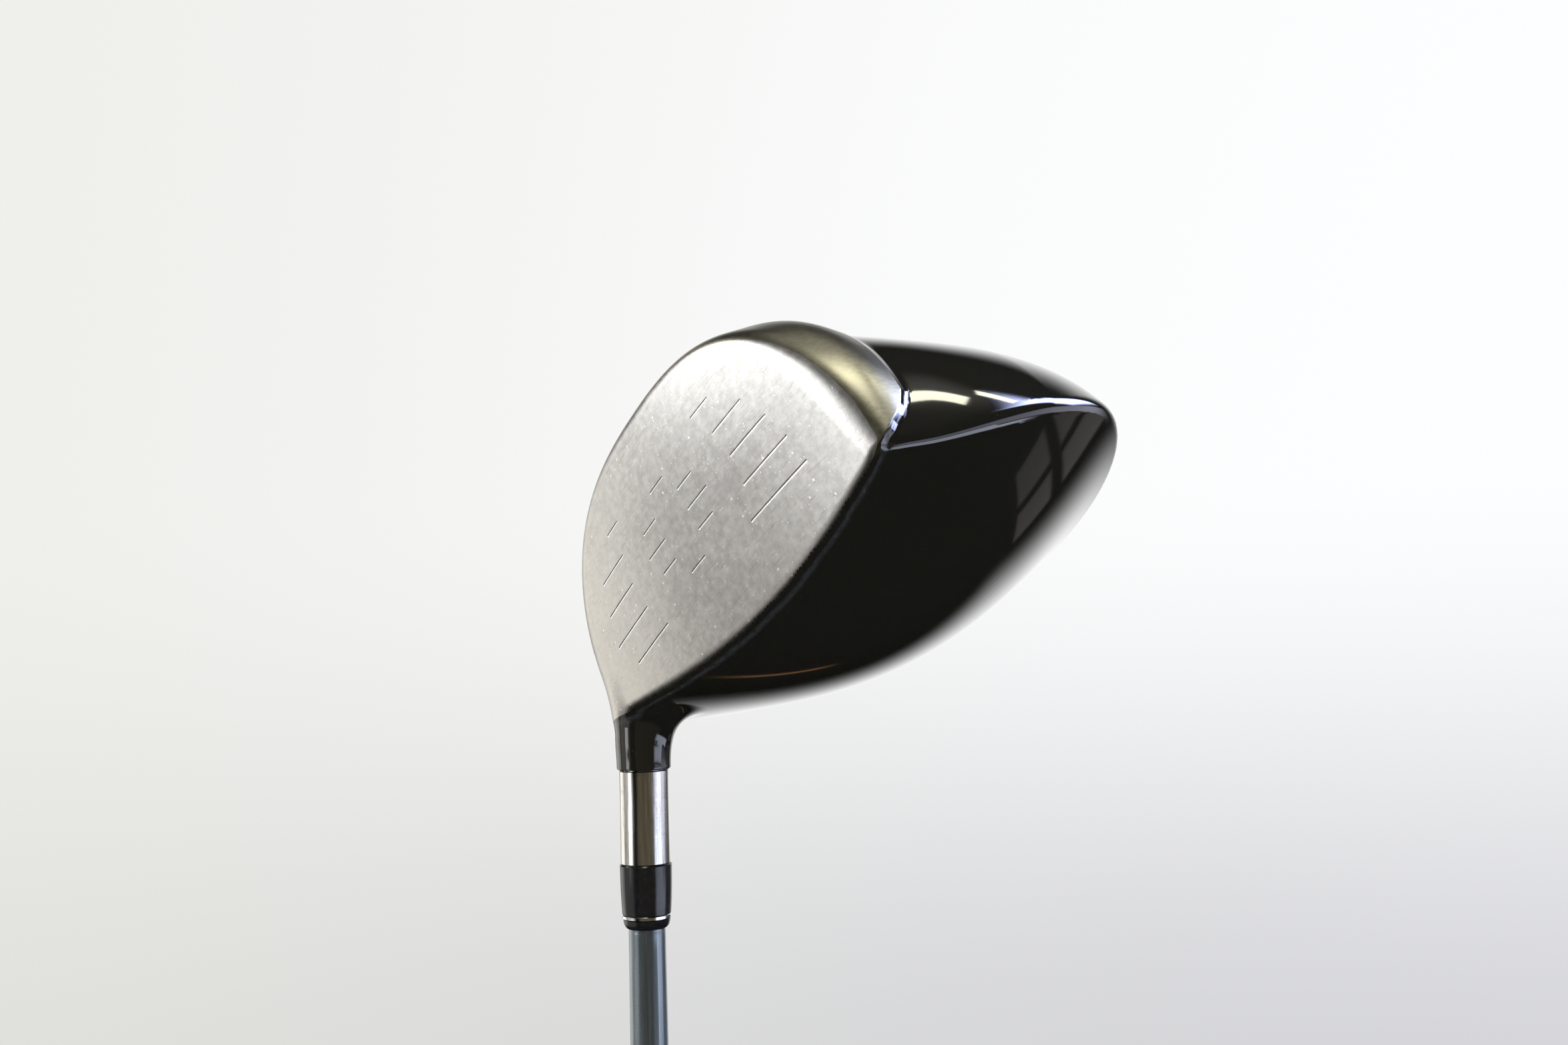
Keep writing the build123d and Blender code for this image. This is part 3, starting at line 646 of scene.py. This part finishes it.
def mat_band():
    m, nt, b = nodes("gunmetal")
    co = coords(nt, "hp")
    brush = noise(nt, co, 15, 4, 0.6, (1.0, 0.35, 1.0))
    fine = noise(nt, co, 40, 4, 0.6, (1.0, 0.3, 1.0))
    cloud = noise(nt, co, 1.1, 3)
    base = mix(nt, ramp(nt, brush, 0.25, 0.75), (0.32, 0.305, 0.235), (0.42, 0.40, 0.315))
    base = mix(nt, mth(nt, "MULTIPLY", ramp(nt, cloud, 0.4, 0.7), 0.6), base, (0.30, 0.29, 0.235))
    edge = nn(nt, "ShaderNodeAttribute", attribute_name="edge").outputs["Fac"]
    # lighter beige in broken patches within about half a millimetre of the band's edges: partly worn metal, partly a
    # painted highlight on the rounded edge next to the face
    wear_and_edge_highlight = mth(nt, "MULTIPLY", ramp(nt, edge, 0.55, 0.05), ramp(nt, fine, 0.42, 0.62))
    base = mix(nt, mth(nt, "MULTIPLY", wear_and_edge_highlight, 0.6), base, (0.52, 0.46, 0.33))
    lk(nt, base, b, "Base Color")
    b.inputs["Metallic"].default_value = 1.0
    lk(nt, mth(nt, "MULTIPLY_ADD", brush, 0.14, 0.25), b, "Roughness")
    bump(nt, b, mth(nt, "ADD", brush, mth(nt, "MULTIPLY", fine, 0.5)), 0.00003, 0.35)
    return m


def mat_black():
    m, nt, b = nodes("black_gloss")
    co = coords(nt, "hp")
    dust = spots(nt, co, 6.0, 0.07, 0.10)
    swirl = noise(nt, co, 30, 2, 0.5, (0.12, 1.0, 1.0), 0.8)
    peel = noise(nt, co, 3.0, 2, 0.4)
    edge = nn(nt, "ShaderNodeAttribute", attribute_name="edge").outputs["Fac"]
    along = noise(nt, co, 7, 4, 0.6)
    # painted highlight: a lighter grey-blue stripe about 0.6 to 2.3 mm from the face's edge, standing in for the light
    # caught on the rounded corner; the lacquer is also made rougher along it
    painted_edge_highlight = mth(nt, "MULTIPLY", mth(nt, "MULTIPLY", ramp(nt, edge, 0.6, 1.1), ramp(nt, edge, 2.3, 1.4)), ramp(nt, along, 0.25, 0.75, 0.35, 1.0))
    nick = mth(nt, "MULTIPLY", spots(nt, co, 5.0, 0.14, 0.12), ramp(nt, edge, 1.9, 1.2))
    base = mix(nt, mth(nt, "MULTIPLY", painted_edge_highlight, 0.85), (0.0105, 0.0102, 0.0080), (0.040, 0.044, 0.047))
    base = mix(nt, mth(nt, "MULTIPLY", nick, 0.8), base, (0.30, 0.28, 0.25))
    base = mix(nt, mth(nt, "MULTIPLY", dust, 0.30), base, (0.30, 0.30, 0.30))
    lk(nt, base, b, "Base Color")
    b.inputs["Metallic"].default_value = 0.0
    b.inputs["IOR"].default_value = 1.5
    rr = mth(nt, "MULTIPLY_ADD", painted_edge_highlight, 0.22, 0.055)
    rr = mth(nt, "MULTIPLY_ADD", ramp(nt, swirl, 0.60, 0.75), 0.05, rr)
    lk(nt, rr, b, "Roughness")
    b.inputs["Coat Weight"].default_value = 0.6
    b.inputs["Coat Roughness"].default_value = 0.03
    h = mth(nt, "MULTIPLY_ADD", nick, -1.0, mth(nt, "MULTIPLY", peel, 0.06))
    bump(nt, b, h, 0.00004, 0.4)
    return m


def mat_metal(name, base, base2, rough, var, stretch=(1, 1, 1), scale=8.0, bumpd=0.00003, attr=None, fleck=0.0, grime=None):
    m, nt, b = nodes(name)
    co = coords(nt, attr)
    a = noise(nt, co, scale, 5, 0.65, stretch)
    c = noise(nt, co, scale * 0.35, 3, 0.5)
    col = mix(nt, ramp(nt, a, 0.32, 0.70), base, base2)
    if grime:
        col = mix(nt, mth(nt, "MULTIPLY", ramp(nt, c, 0.52, 0.72), 0.6), col, grime)
    if fleck:
        col = mix(nt, spots(nt, co, 16, 0.18, fleck), col, (0.85, 0.84, 0.82))
    lk(nt, col, b, "Base Color")
    b.inputs["Metallic"].default_value = 1.0
    lk(nt, mth(nt, "MULTIPLY_ADD", a, var, rough), b, "Roughness")
    bump(nt, b, a, bumpd, 0.5)
    return m


def mat_sleeve():
    m, nt, b = nodes("polished_aluminium")
    co = coords(nt)
    ring = noise(nt, co, 30, 3, 0.6, (0.08, 0.08, 2.2))
    long_ = noise(nt, co, 12, 5, 0.65, (1.0, 1.0, 0.05))
    blot = noise(nt, co, 4, 4, 0.6)
    base = mix(nt, ramp(nt, long_, 0.36, 0.66), (0.62, 0.60, 0.55), (0.86, 0.85, 0.83))
    base = mix(nt, mth(nt, "MULTIPLY", ramp(nt, blot, 0.55, 0.75), 0.35), base, (0.42, 0.40, 0.34))
    lk(nt, base, b, "Base Color")
    b.inputs["Metallic"].default_value = 1.0
    lk(nt, mth(nt, "MULTIPLY_ADD", long_, 0.14, 0.10), b, "Roughness")
    bump(nt, b, mth(nt, "ADD", mth(nt, "MULTIPLY", ring, 0.5), long_), 0.00003, 0.5)
    return m


def mat_shaft():
    m, nt, b = nodes("shaft_paint")
    co = coords(nt)
    flake = spots(nt, co, 60.0, 0.5, 0.5)
    long_ = noise(nt, co, 14, 4, 0.6, (1.0, 1.0, 0.03))
    cloud = noise(nt, co, 3, 3, 0.5, (1, 1, 0.2))
    base = mix(nt, ramp(nt, long_, 0.35, 0.68), (0.155, 0.185, 0.205), (0.235, 0.275, 0.300))
    base = mix(nt, mth(nt, "MULTIPLY", flake, 0.18), base, (0.55, 0.62, 0.66))
    base = mix(nt, mth(nt, "MULTIPLY", ramp(nt, cloud, 0.5, 0.75), 0.3), base, (0.15, 0.17, 0.18))
    lk(nt, base, b, "Base Color")
    b.inputs["Metallic"].default_value = 0.85
    lk(nt, mth(nt, "MULTIPLY_ADD", long_, 0.18, 0.26), b, "Roughness")
    b.inputs["Coat Weight"].default_value = 0.7
    b.inputs["Coat Roughness"].default_value = 0.10
    bump(nt, b, mth(nt, "ADD", long_, mth(nt, "MULTIPLY", flake, 0.2)), 0.00003, 0.4)
    return m


def mat_plain(name, base, base2, rough, var, metallic=0.0, coat=0.0, scale=10.0, bumpd=0.00004, stretch=(1, 1, 1)):
    m, nt, b = nodes(name)
    co = coords(nt)
    a = noise(nt, co, scale, 5, 0.6, stretch)
    c = noise(nt, co, scale * 5, 3, 0.6)
    col = mix(nt, ramp(nt, a, 0.32, 0.70), base, base2)
    lk(nt, col, b, "Base Color")
    b.inputs["Metallic"].default_value = metallic
    lk(nt, mth(nt, "MULTIPLY_ADD", a, var, rough), b, "Roughness")
    b.inputs["Coat Weight"].default_value = coat
    b.inputs["Coat Roughness"].default_value = 0.05
    bump(nt, b, mth(nt, "ADD", a, mth(nt, "MULTIPLY", c, 0.4)), bumpd, 0.5)
    return m


M = {
    "face_titanium": mat_face(),
    "gunmetal": mat_band(),
    "black_gloss": mat_black(),
    "bare_titanium": mat_metal("bare_titanium", (0.33, 0.32, 0.31), (0.47, 0.46, 0.44), 0.38, 0.2, scale=14, fleck=0.1),
    "polished_aluminium": mat_sleeve(),
    "ferrule_black": mat_plain("ferrule_black", (0.008, 0.008, 0.009), (0.014, 0.014, 0.015), 0.10, 0.10, 0.0, 0.0, 8),
    "bright_ring": mat_metal("bright_ring", (0.72, 0.72, 0.74), (0.88, 0.88, 0.90), 0.10, 0.12, (1, 1, 0.3), 14),
    "shaft_paint": mat_shaft(),
    "graphite_plug": mat_plain("graphite_plug", (0.20, 0.17, 0.13), (0.34, 0.29, 0.22), 0.80, 0.15, scale=22, bumpd=0.0002),
    "grip_rubber": mat_plain("grip_rubber", (0.012, 0.012, 0.013), (0.030, 0.030, 0.032), 0.55, 0.25, scale=9, bumpd=0.00015),
    "tape": mat_plain("tape", (0.66, 0.62, 0.50), (0.80, 0.76, 0.65), 0.85, 0.1, scale=26, bumpd=0.0001),
    "steel": mat_metal("steel", (0.36, 0.36, 0.37), (0.56, 0.56, 0.57), 0.24, 0.2, scale=16, grime=(0.16, 0.14, 0.12)),
    "tungsten_weight": mat_metal("tungsten_weight", (0.20, 0.20, 0.205), (0.36, 0.36, 0.37), 0.28, 0.18, scale=18, grime=(0.12, 0.11, 0.10), fleck=0.12),
    "badge": mat_metal("badge", (0.42, 0.42, 0.43), (0.62, 0.62, 0.63), 0.22, 0.15, (0.15, 1, 1), 12),
    "hot_melt": mat_plain("hot_melt", (0.62, 0.52, 0.30), (0.74, 0.66, 0.44), 0.35, 0.2, scale=12),
    "rubber_ring": mat_plain("rubber_ring", (0.018, 0.018, 0.019), (0.035, 0.035, 0.036), 0.55, 0.2, scale=18),
}
slot_of = {}
for nd in frame["record"].get("nodes", []):
    if isinstance(nd, dict) and nd.get("name"):
        slot_of[nd["name"]] = nd.get("material") or nd.get("slot")
for sp in frame["record"]["subparts"]:
    slot_of[sp["node"]] = sp["material_slot"]
for nm, ob in N.items():
    mt = M[slot_of[nm]]
    if not ob.material_slots:
        ob.data.materials.append(mt)
    for s_ in ob.material_slots:
        s_.material = mt

# ------------------------------------------------------------------ the head's skin
V, Q = surface_net(F, (-40, -97, -4), (90, 19, 64), 1.0)
V = project(F, V, 3)
T = np.concatenate([Q[:, [0, 1, 2]], Q[:, [0, 2, 3]]])


def want(mid, ln):
    d = score_dist(mid)
    a = (d < 0.9) & (ln > 0.5)
    a |= (d < 0.42) & (ln > 0.22)
    a |= (d < 0.34) & (ln > 0.13) & (d > 0.05)
    s, th = np.abs(face_sel(mid)), theta(mid)
    front = mid[:, 1] > -2
    a |= (s < 0.9) & (ln > 0.5) & front
    a |= (s < 0.50) & (ln > 0.20) & (th > 20) & (th < 168) & front
    a |= (np.abs(band_sel(mid)) < 2.4) & (ln > 0.5)
    for k in range(2):
        r, h = port_dist(mid, k)
        a |= (np.abs(r - 8.4) < 0.7) & (ln > 0.45) & (h > -4)
    t = mid @ AXIS
    rho = np.linalg.norm(mid - t[:, None] * AXIS, axis=1)
    a |= (rho < 9) & (np.abs(t - 63.3) < 1.2) & (ln > 0.45)
    a |= (np.abs(rho - 5.3) < 0.7) & (t < 20) & (ln > 0.45)
    return a


V, T = refine(FS, V, T, want, 4)
V = project(FS, V, 2)

# orient outwards
nrm = np.cross(V[T[:, 1]] - V[T[:, 0]], V[T[:, 2]] - V[T[:, 0]])
if (nrm * V[T].mean(1)).sum() < 0 and np.einsum("ij,ij->", V[T[:, 0]], np.cross(V[T[:, 1]], V[T[:, 2]])) < 0:
    T = T[:, ::-1]
if np.einsum("ij,ij->", V[T[:, 0]], np.cross(V[T[:, 1]], V[T[:, 2]])) < 0:
    T = T[:, ::-1]


def part(V, T, sel):
    """(V, triangles where sel > 0, triangles where sel < 0)"""
    V2, neg, pos, _ = split(V, T, sel(V))
    return V2, pos, neg


tt = lambda P: P @ AXIS
rho_ = lambda P: np.linalg.norm(P - (P @ AXIS)[..., None] * AXIS, axis=-1)
V, _drop, T = part(V, T, lambda P: np.where(rho_(P) < 12, tt(P) - 63.3, -5.0))            # open the neck's end
V, _drop, T = part(V, T, lambda P: np.where(tt(P) < 20, 5.3 - rho_(P), -5.0))             # the bolt's port
for k in range(2):
    V, _drop, T = part(V, T, lambda P, k=k: np.where(port_dist(P, k)[1] > -6, 8.4 - port_dist(P, k)[0], -5.0))
V, T_face, T = part(V, T, face_sel)
V, T_band, T = part(V, T, band_sel)
V, T_crown, T_skirt = part(V, T, crown_sel)


def attrs(P):
    return {"edge": np.where(P[:, 1] > -8, np.minimum(np.abs(face_sel(P)), 9.0), 9.0), "groove": smooth(SCORE_W / 2 + 0.05, SCORE_W / 2 - 0.12, score_dist(P))}


def attrs_band(P):
    return {"edge": np.minimum(np.abs(band_sel(P)), np.abs(face_sel(P)))}


shell_object("face_plate_skin", V, T_face, FS, 1.2, attrs, M["face_titanium"], ["face_plate"])
shell_object("toe_band_skin", V, T_band, F, 1.0, attrs_band, M["gunmetal"], ["front_casting"])
shell_object("crown_skin", V, T_crown, F, 0.8, attrs, M["black_gloss"], ["crown_shell"])
shell_object("skirt_skin", V, T_skirt, F, 0.8, attrs, M["black_gloss"], ["skirt_shell"])

# ------------------------------------------------------------------ the bonded tube inside the neck
def hosel_tube(name, seg=96):
    ang = 2 * np.pi * np.arange(seg) / seg
    ux, uy = np.array([1.0, 0, 0]), np.array([0, 1.0, 0])

    def pt(r, a, t):
        return (np.array([r * math.cos(a), r * math.sin(a), CLUB - t]) - np.array([0, 0, CLUB])) @ HR

    def foot(r, a):
        lo, hi = 2.0, 30.0
        for _ in range(24):
            m_ = (lo + hi) / 2
            if F(pt(r, a, m_)[None])[0] < -0.25:
                hi = m_
            else:
                lo = m_
        return hi
    prof = [(6.15, None), (6.15, 62.9), (6.30, 63.0), (6.30, 63.45), (6.10, 63.65), (5.75, 63.65), (5.65, 63.5), (5.65, 56.4), (5.15, 56.2), (5.15, 28.5),
            (2.75, 28.5), (2.75, 24.6), (5.30, 24.6), (5.30, None)]
    V_, F_ = [], []
    for (r, t) in prof:
        for a in ang:
            tt_ = foot(r, a) if t is None else t
            V_.append((r * math.cos(a) / 1000, r * math.sin(a) / 1000, (CLUB - tt_) / 1000))
    m_ = len(prof)
    for i in range(m_):
        j = (i + 1) % m_
        for k in range(seg):
            l = (k + 1) % seg
            F_.append((i * seg + k, j * seg + k, j * seg + l, i * seg + l))
    V_ = np.array(V_)
    return crease(mesh_object(name, V_, F_, None, {"hp": to_head(V_) / 10.0, "edge": np.full(len(V_), 9.0)}, [M["black_gloss"]], "head", ["hosel"]), 35)


hosel_tube("hosel_tube")

# ------------------------------------------------------------------ grip with its moulded pattern
def grip_bumps(A, z, r):
    """depth of the moulded pattern in mm: rows of slanted grooves, with plain bands between, and a fine cord texture"""
    u = A / (2 * np.pi)
    turns = 14
    d1 = np.abs(((u * turns + z / 9.0) % 1.0) - 0.5) * 2
    d2 = np.abs(((u * turns - z / 9.0) % 1.0) - 0.5) * 2
    dia = np.maximum(smooth(0.84, 0.97, d1), smooth(0.84, 0.97, d2))
    band = smooth(0, 3, np.abs(((z - 20) % 62.0) - 31.0) - 4.0)
    ends = smooth(4, 9, z) * smooth(268, 260, z)
    ring = smooth(1.0, 0.4, np.abs(((z - 20) % 62.0) - 26.5)) + smooth(1.0, 0.4, np.abs(((z - 20) % 62.0) - 35.5))
    return (0.42 * dia * band + 0.30 * ring) * ends


g_lo, g_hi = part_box("grip")
gz0, gz1 = g_lo.z * 1000, g_hi.z * 1000
gco = np.array([v.co for v in N["grip"].data.vertices]) * 1000
gr = np.hypot(gco[:, 0], gco[:, 1])
end0, end1 = np.abs(gco[:, 2] - gz0) < 0.5, np.abs(gco[:, 2] - gz1) < 0.5
ri_bot, ri_top = gr[end0].min(), gr[end1].min()
rise = np.linspace(0, 1, 421)
zs = gz0 + 0.4 + (gz1 - gz0 - 0.8) * rise
r0_, r1_ = gr.max(), gr[end1].max()
body_r = r0_ + (r1_ - r0_) * (zs - gz0) / (gz1 - gz0)
prof = [(body_r[0] - 0.5, gz0)] + [(r, z_) for r, z_ in zip(body_r, zs)] + [(body_r[-1] - 0.5, gz1)]
prof += [(ri_top, gz1), (ri_bot, gz0)]
prof = np.array(prof)


def only_outside(A, z, r):
    return np.where(r > 9.0, grip_bumps(A, z, r), 0.0)


crease(lathe("grip_sleeve", prof, 168, M["grip_rubber"], ["grip"], bumps=only_outside), 50)

# ------------------------------------------------------------------ camera, backdrop and light
CAM = np.array([0.27991, -0.16469, 1.10519])
CR = np.array([0.593028, 0.804611, -0.030324])
CU = np.array([0.094612, -0.032233, 0.994992])
CB = np.array([0.799604, -0.592927, -0.095241])
cam = bpy.data.cameras.new("camera")
cam.lens, cam.sensor_width, cam.clip_start = 31.367, 36.0, 0.01
co_ = bpy.data.objects.new("camera", cam)
co_.matrix_world = Matrix(((CR[0], CU[0], CB[0], CAM[0]), (CR[1], CU[1], CB[1], CAM[1]), (CR[2], CU[2], CB[2], CAM[2]), (0, 0, 0, 1)))
bpy.context.scene.collection.objects.link(co_)
bpy.context.scene.camera = co_
bpy.context.scene.view_settings.view_transform = "Standard"
bpy.context.scene.view_settings.look = "None"

LOOK = np.array([0.03, 0.0, 1.165])                      # middle of the head


def direction(r, u, b):
    d = CR * r + CU * u + CB * b
    return d / np.linalg.norm(d)


def panel(name, d, dist, w, h, strength, color=(1, 1, 1), roll=0.0, soft=0.0, at=None, along=None):
    """a softbox: emits towards the head from direction d"""
    d = np.array(d) / np.linalg.norm(d)
    c = (LOOK if at is None else np.array(at)) + d * dist
    z = -d
    x = np.cross(z, CU)
    x /= np.linalg.norm(x)
    y = np.cross(z, x)
    if along is not None:
        y = CR * along[0] + CU * along[1] + CB * along[2]
        y = y - z * (y @ z)
        y /= np.linalg.norm(y)
        x = np.cross(y, z)
    cr, sr = math.cos(roll), math.sin(roll)
    x, y = x * cr + y * sr, -x * sr + y * cr
    n = 9 if soft else 1
    V_, F_, A_ = [], [], []
    m_ = 24
    for i in range(m_ + 1):
        for j in range(m_ + 1):
            V_.append(tuple(c + x * w * (i / m_ - 0.5) + y * h * (j / m_ - 0.5)))
            e = min(i, m_ - i, j, m_ - j) / m_ * 2
            A_.append(1.0 if soft <= 0 else float(smooth(0, soft, np.array(e))))
    for i in range(m_):
        for j in range(m_):
            a = i * (m_ + 1) + j
            F_.append((a, a + m_ + 1, a + m_ + 2, a + 1))
    me = bpy.data.meshes.new(name)
    me.from_pydata(V_, [], F_)
    me.attributes.new("soft", "FLOAT", "POINT").data.foreach_set("value", A_)
    ob = bpy.data.objects.new(name, me)
    bpy.context.scene.collection.objects.link(ob)
    mt = bpy.data.materials.new(name)
    mt.use_nodes = True
    nt = mt.node_tree
    nt.nodes.clear()
    em = nn(nt, "ShaderNodeEmission")
    em.inputs["Color"].default_value = tuple(color) + (1,)
    at_ = nn(nt, "ShaderNodeAttribute", attribute_name="soft")
    mu = nn(nt, "ShaderNodeMath", operation="MULTIPLY")
    mu.inputs[1].default_value = strength
    nt.links.new(at_.outputs["Fac"], mu.inputs[0])
    nt.links.new(mu.outputs[0], em.inputs["Strength"])
    out = nn(nt, "ShaderNodeOutputMaterial")
    nt.links.new(em.outputs[0], out.inputs[0])
    me.materials.append(mt)
    ob.visible_camera = False
    ob.visible_shadow = False
    return ob


RIDGE_ROLL = 0.55
world = bpy.data.worlds.new("studio")
bpy.context.scene.world = world
world.use_nodes = True
bg = world.node_tree.nodes["Background"]
wt = world.node_tree
tc = wt.nodes.new("ShaderNodeTexCoord")
sx = wt.nodes.new("ShaderNodeSeparateXYZ")
wt.links.new(tc.outputs["Generated"], sx.inputs[0])
rz = ramp(wt, sx.outputs[2], -0.30, 0.12)
ry = ramp(wt, sx.outputs[1], 0.0, 0.95)
low = mix(wt, ry, (0.735, 0.74, 0.70), (0.66, 0.66, 0.69))
high = mix(wt, ry, (0.86, 0.865, 0.83), (0.985, 0.99, 1.0))
wt.links.new(mix(wt, rz, low, high), bg.inputs["Color"])
bg.inputs["Strength"].default_value = 1.0
world.cycles_visibility.glossy = False
world.cycles_visibility.diffuse = True

# behind the club: seen in the gloss only at grazing angles
panel("glow_behind", direction(0.0, 0.03, -1.0), 1.6, 3.25, 2.75, 1.0, (1.0, 1.0, 1.0), soft=0.62)
panel("window_low", direction(-0.92, -0.05, 0.39), 1.5, 0.46, 0.58, 3.2, (1.0, 1.0, 1.0), roll=-0.25, soft=0.35)
panel("glow_left", direction(-0.82, -0.22, -0.52), 1.6, 1.5, 1.5, 1.3, (1.0, 0.98, 0.93), soft=0.6)
# window on the left, with its sill just under the line that the face reflects
panel("window_left", direction(-0.93, 0.42, 0.12), 1.5, 1.7, 1.10, 3.6, (1.0, 1.0, 1.0), roll=-0.16, soft=0.20)
panel("wall_left", direction(-0.95, -0.30, 0.12), 1.9, 2.6, 1.9, 0.50, (1.0, 0.97, 0.92), soft=0.3)
# lamps overhead: the casting and the top of the skirt
panel("lamp_a", direction(0.08, 0.95, 0.20), 1.4, 1.05, 0.44, 7.2, (1.0, 0.97, 0.82), soft=0.8)
panel("lamp_b", direction(0.46, 0.88, -0.07), 1.4, 0.13, 0.20, 11.0, (1.0, 0.98, 0.78), soft=0.12)
panel("lamp_c", direction(0.56, 0.80, -0.22), 1.4, 0.07, 0.20, 11.0, (1.0, 0.98, 0.78), soft=0.12)
panel("ceiling", direction(0.05, 0.95, -0.10), 1.8, 2.2, 1.5, 0.42, (1.0, 0.97, 0.88), soft=0.5)
# window on the right and above: the ridge between crown and skirt
panel("ridge_strip", direction(0.78, 0.51, -0.33), 1.5, 0.60, 1.40, 27.0, (0.52, 0.60, 1.0), soft=0.85, along=(0.24, -0.54, -0.34))
panel("wall_right", direction(0.99, -0.03, 0.0), 1.5, 3.0, 0.60, 1.15, (0.80, 0.80, 1.0), soft=0.45)
panel("wall_right_low", direction(0.93, -0.24, 0.25), 1.5, 1.70, 0.46, 2.9, (0.76, 0.83, 1.0), soft=0.4)
# panes of a window lower down on the right, faint on the crown
z_ = direction(0.80, -0.30, -0.50)
x_ = np.cross(CU, z_)
x_ /= np.linalg.norm(x_)
y_ = np.cross(z_, x_)
for i_, (dr, du) in enumerate(((-0.5, 0.5), (0.5, 0.5), (-0.5, -0.5), (0.5, -0.5))):
    panel("pane_%d" % i_, z_, 1.5, 0.24, 0.22, 0.15, (1.0, 0.97, 0.90), soft=0.2, at=LOOK + x_ * dr * 0.28 + y_ * du * 0.26)
panel("amber", direction(0.10, -0.74, -0.66), 1.4, 0.34, 0.03, 0.45, (1.0, 0.52, 0.22), roll=0.25, soft=0.7)
# the dim side of the room, behind the camera
panel("room", direction(0.25, -0.10, 1.0), 2.2, 4.4, 3.4, 0.10, (1.0, 0.86, 0.60), soft=0.2)


def flat_mat(name, col, rough):
    return mat_plain(name, col, tuple(min(1, c * 1.03) for c in col), rough, 0.05, scale=1.2, bumpd=0.0002)


seg = 96
fv = [(0.0, 0.0, -0.001)]
rings = [0.3, 0.8, 1.6, 3.2]
for r_ in rings:
    fv += [(r_ * math.cos(2 * math.pi * k / seg), r_ * math.sin(2 * math.pi * k / seg), -0.001) for k in range(seg)]
ff = [(0, 1 + k, 1 + (k + 1) % seg) for k in range(seg)]
for i in range(len(rings) - 1):
    for k in range(seg):
        a, b_ = 1 + i * seg + k, 1 + i * seg + (k + 1) % seg
        ff.append((a, a + seg, b_ + seg, b_))
floor = bpy.data.meshes.new("floor")
floor.from_pydata(fv, [], ff)
floor.materials.append(flat_mat("floor_paint", (0.80, 0.80, 0.79), 0.7))
fo = bpy.data.objects.new("floor", floor)
bpy.context.scene.collection.objects.link(fo)
fo.visible_glossy = False
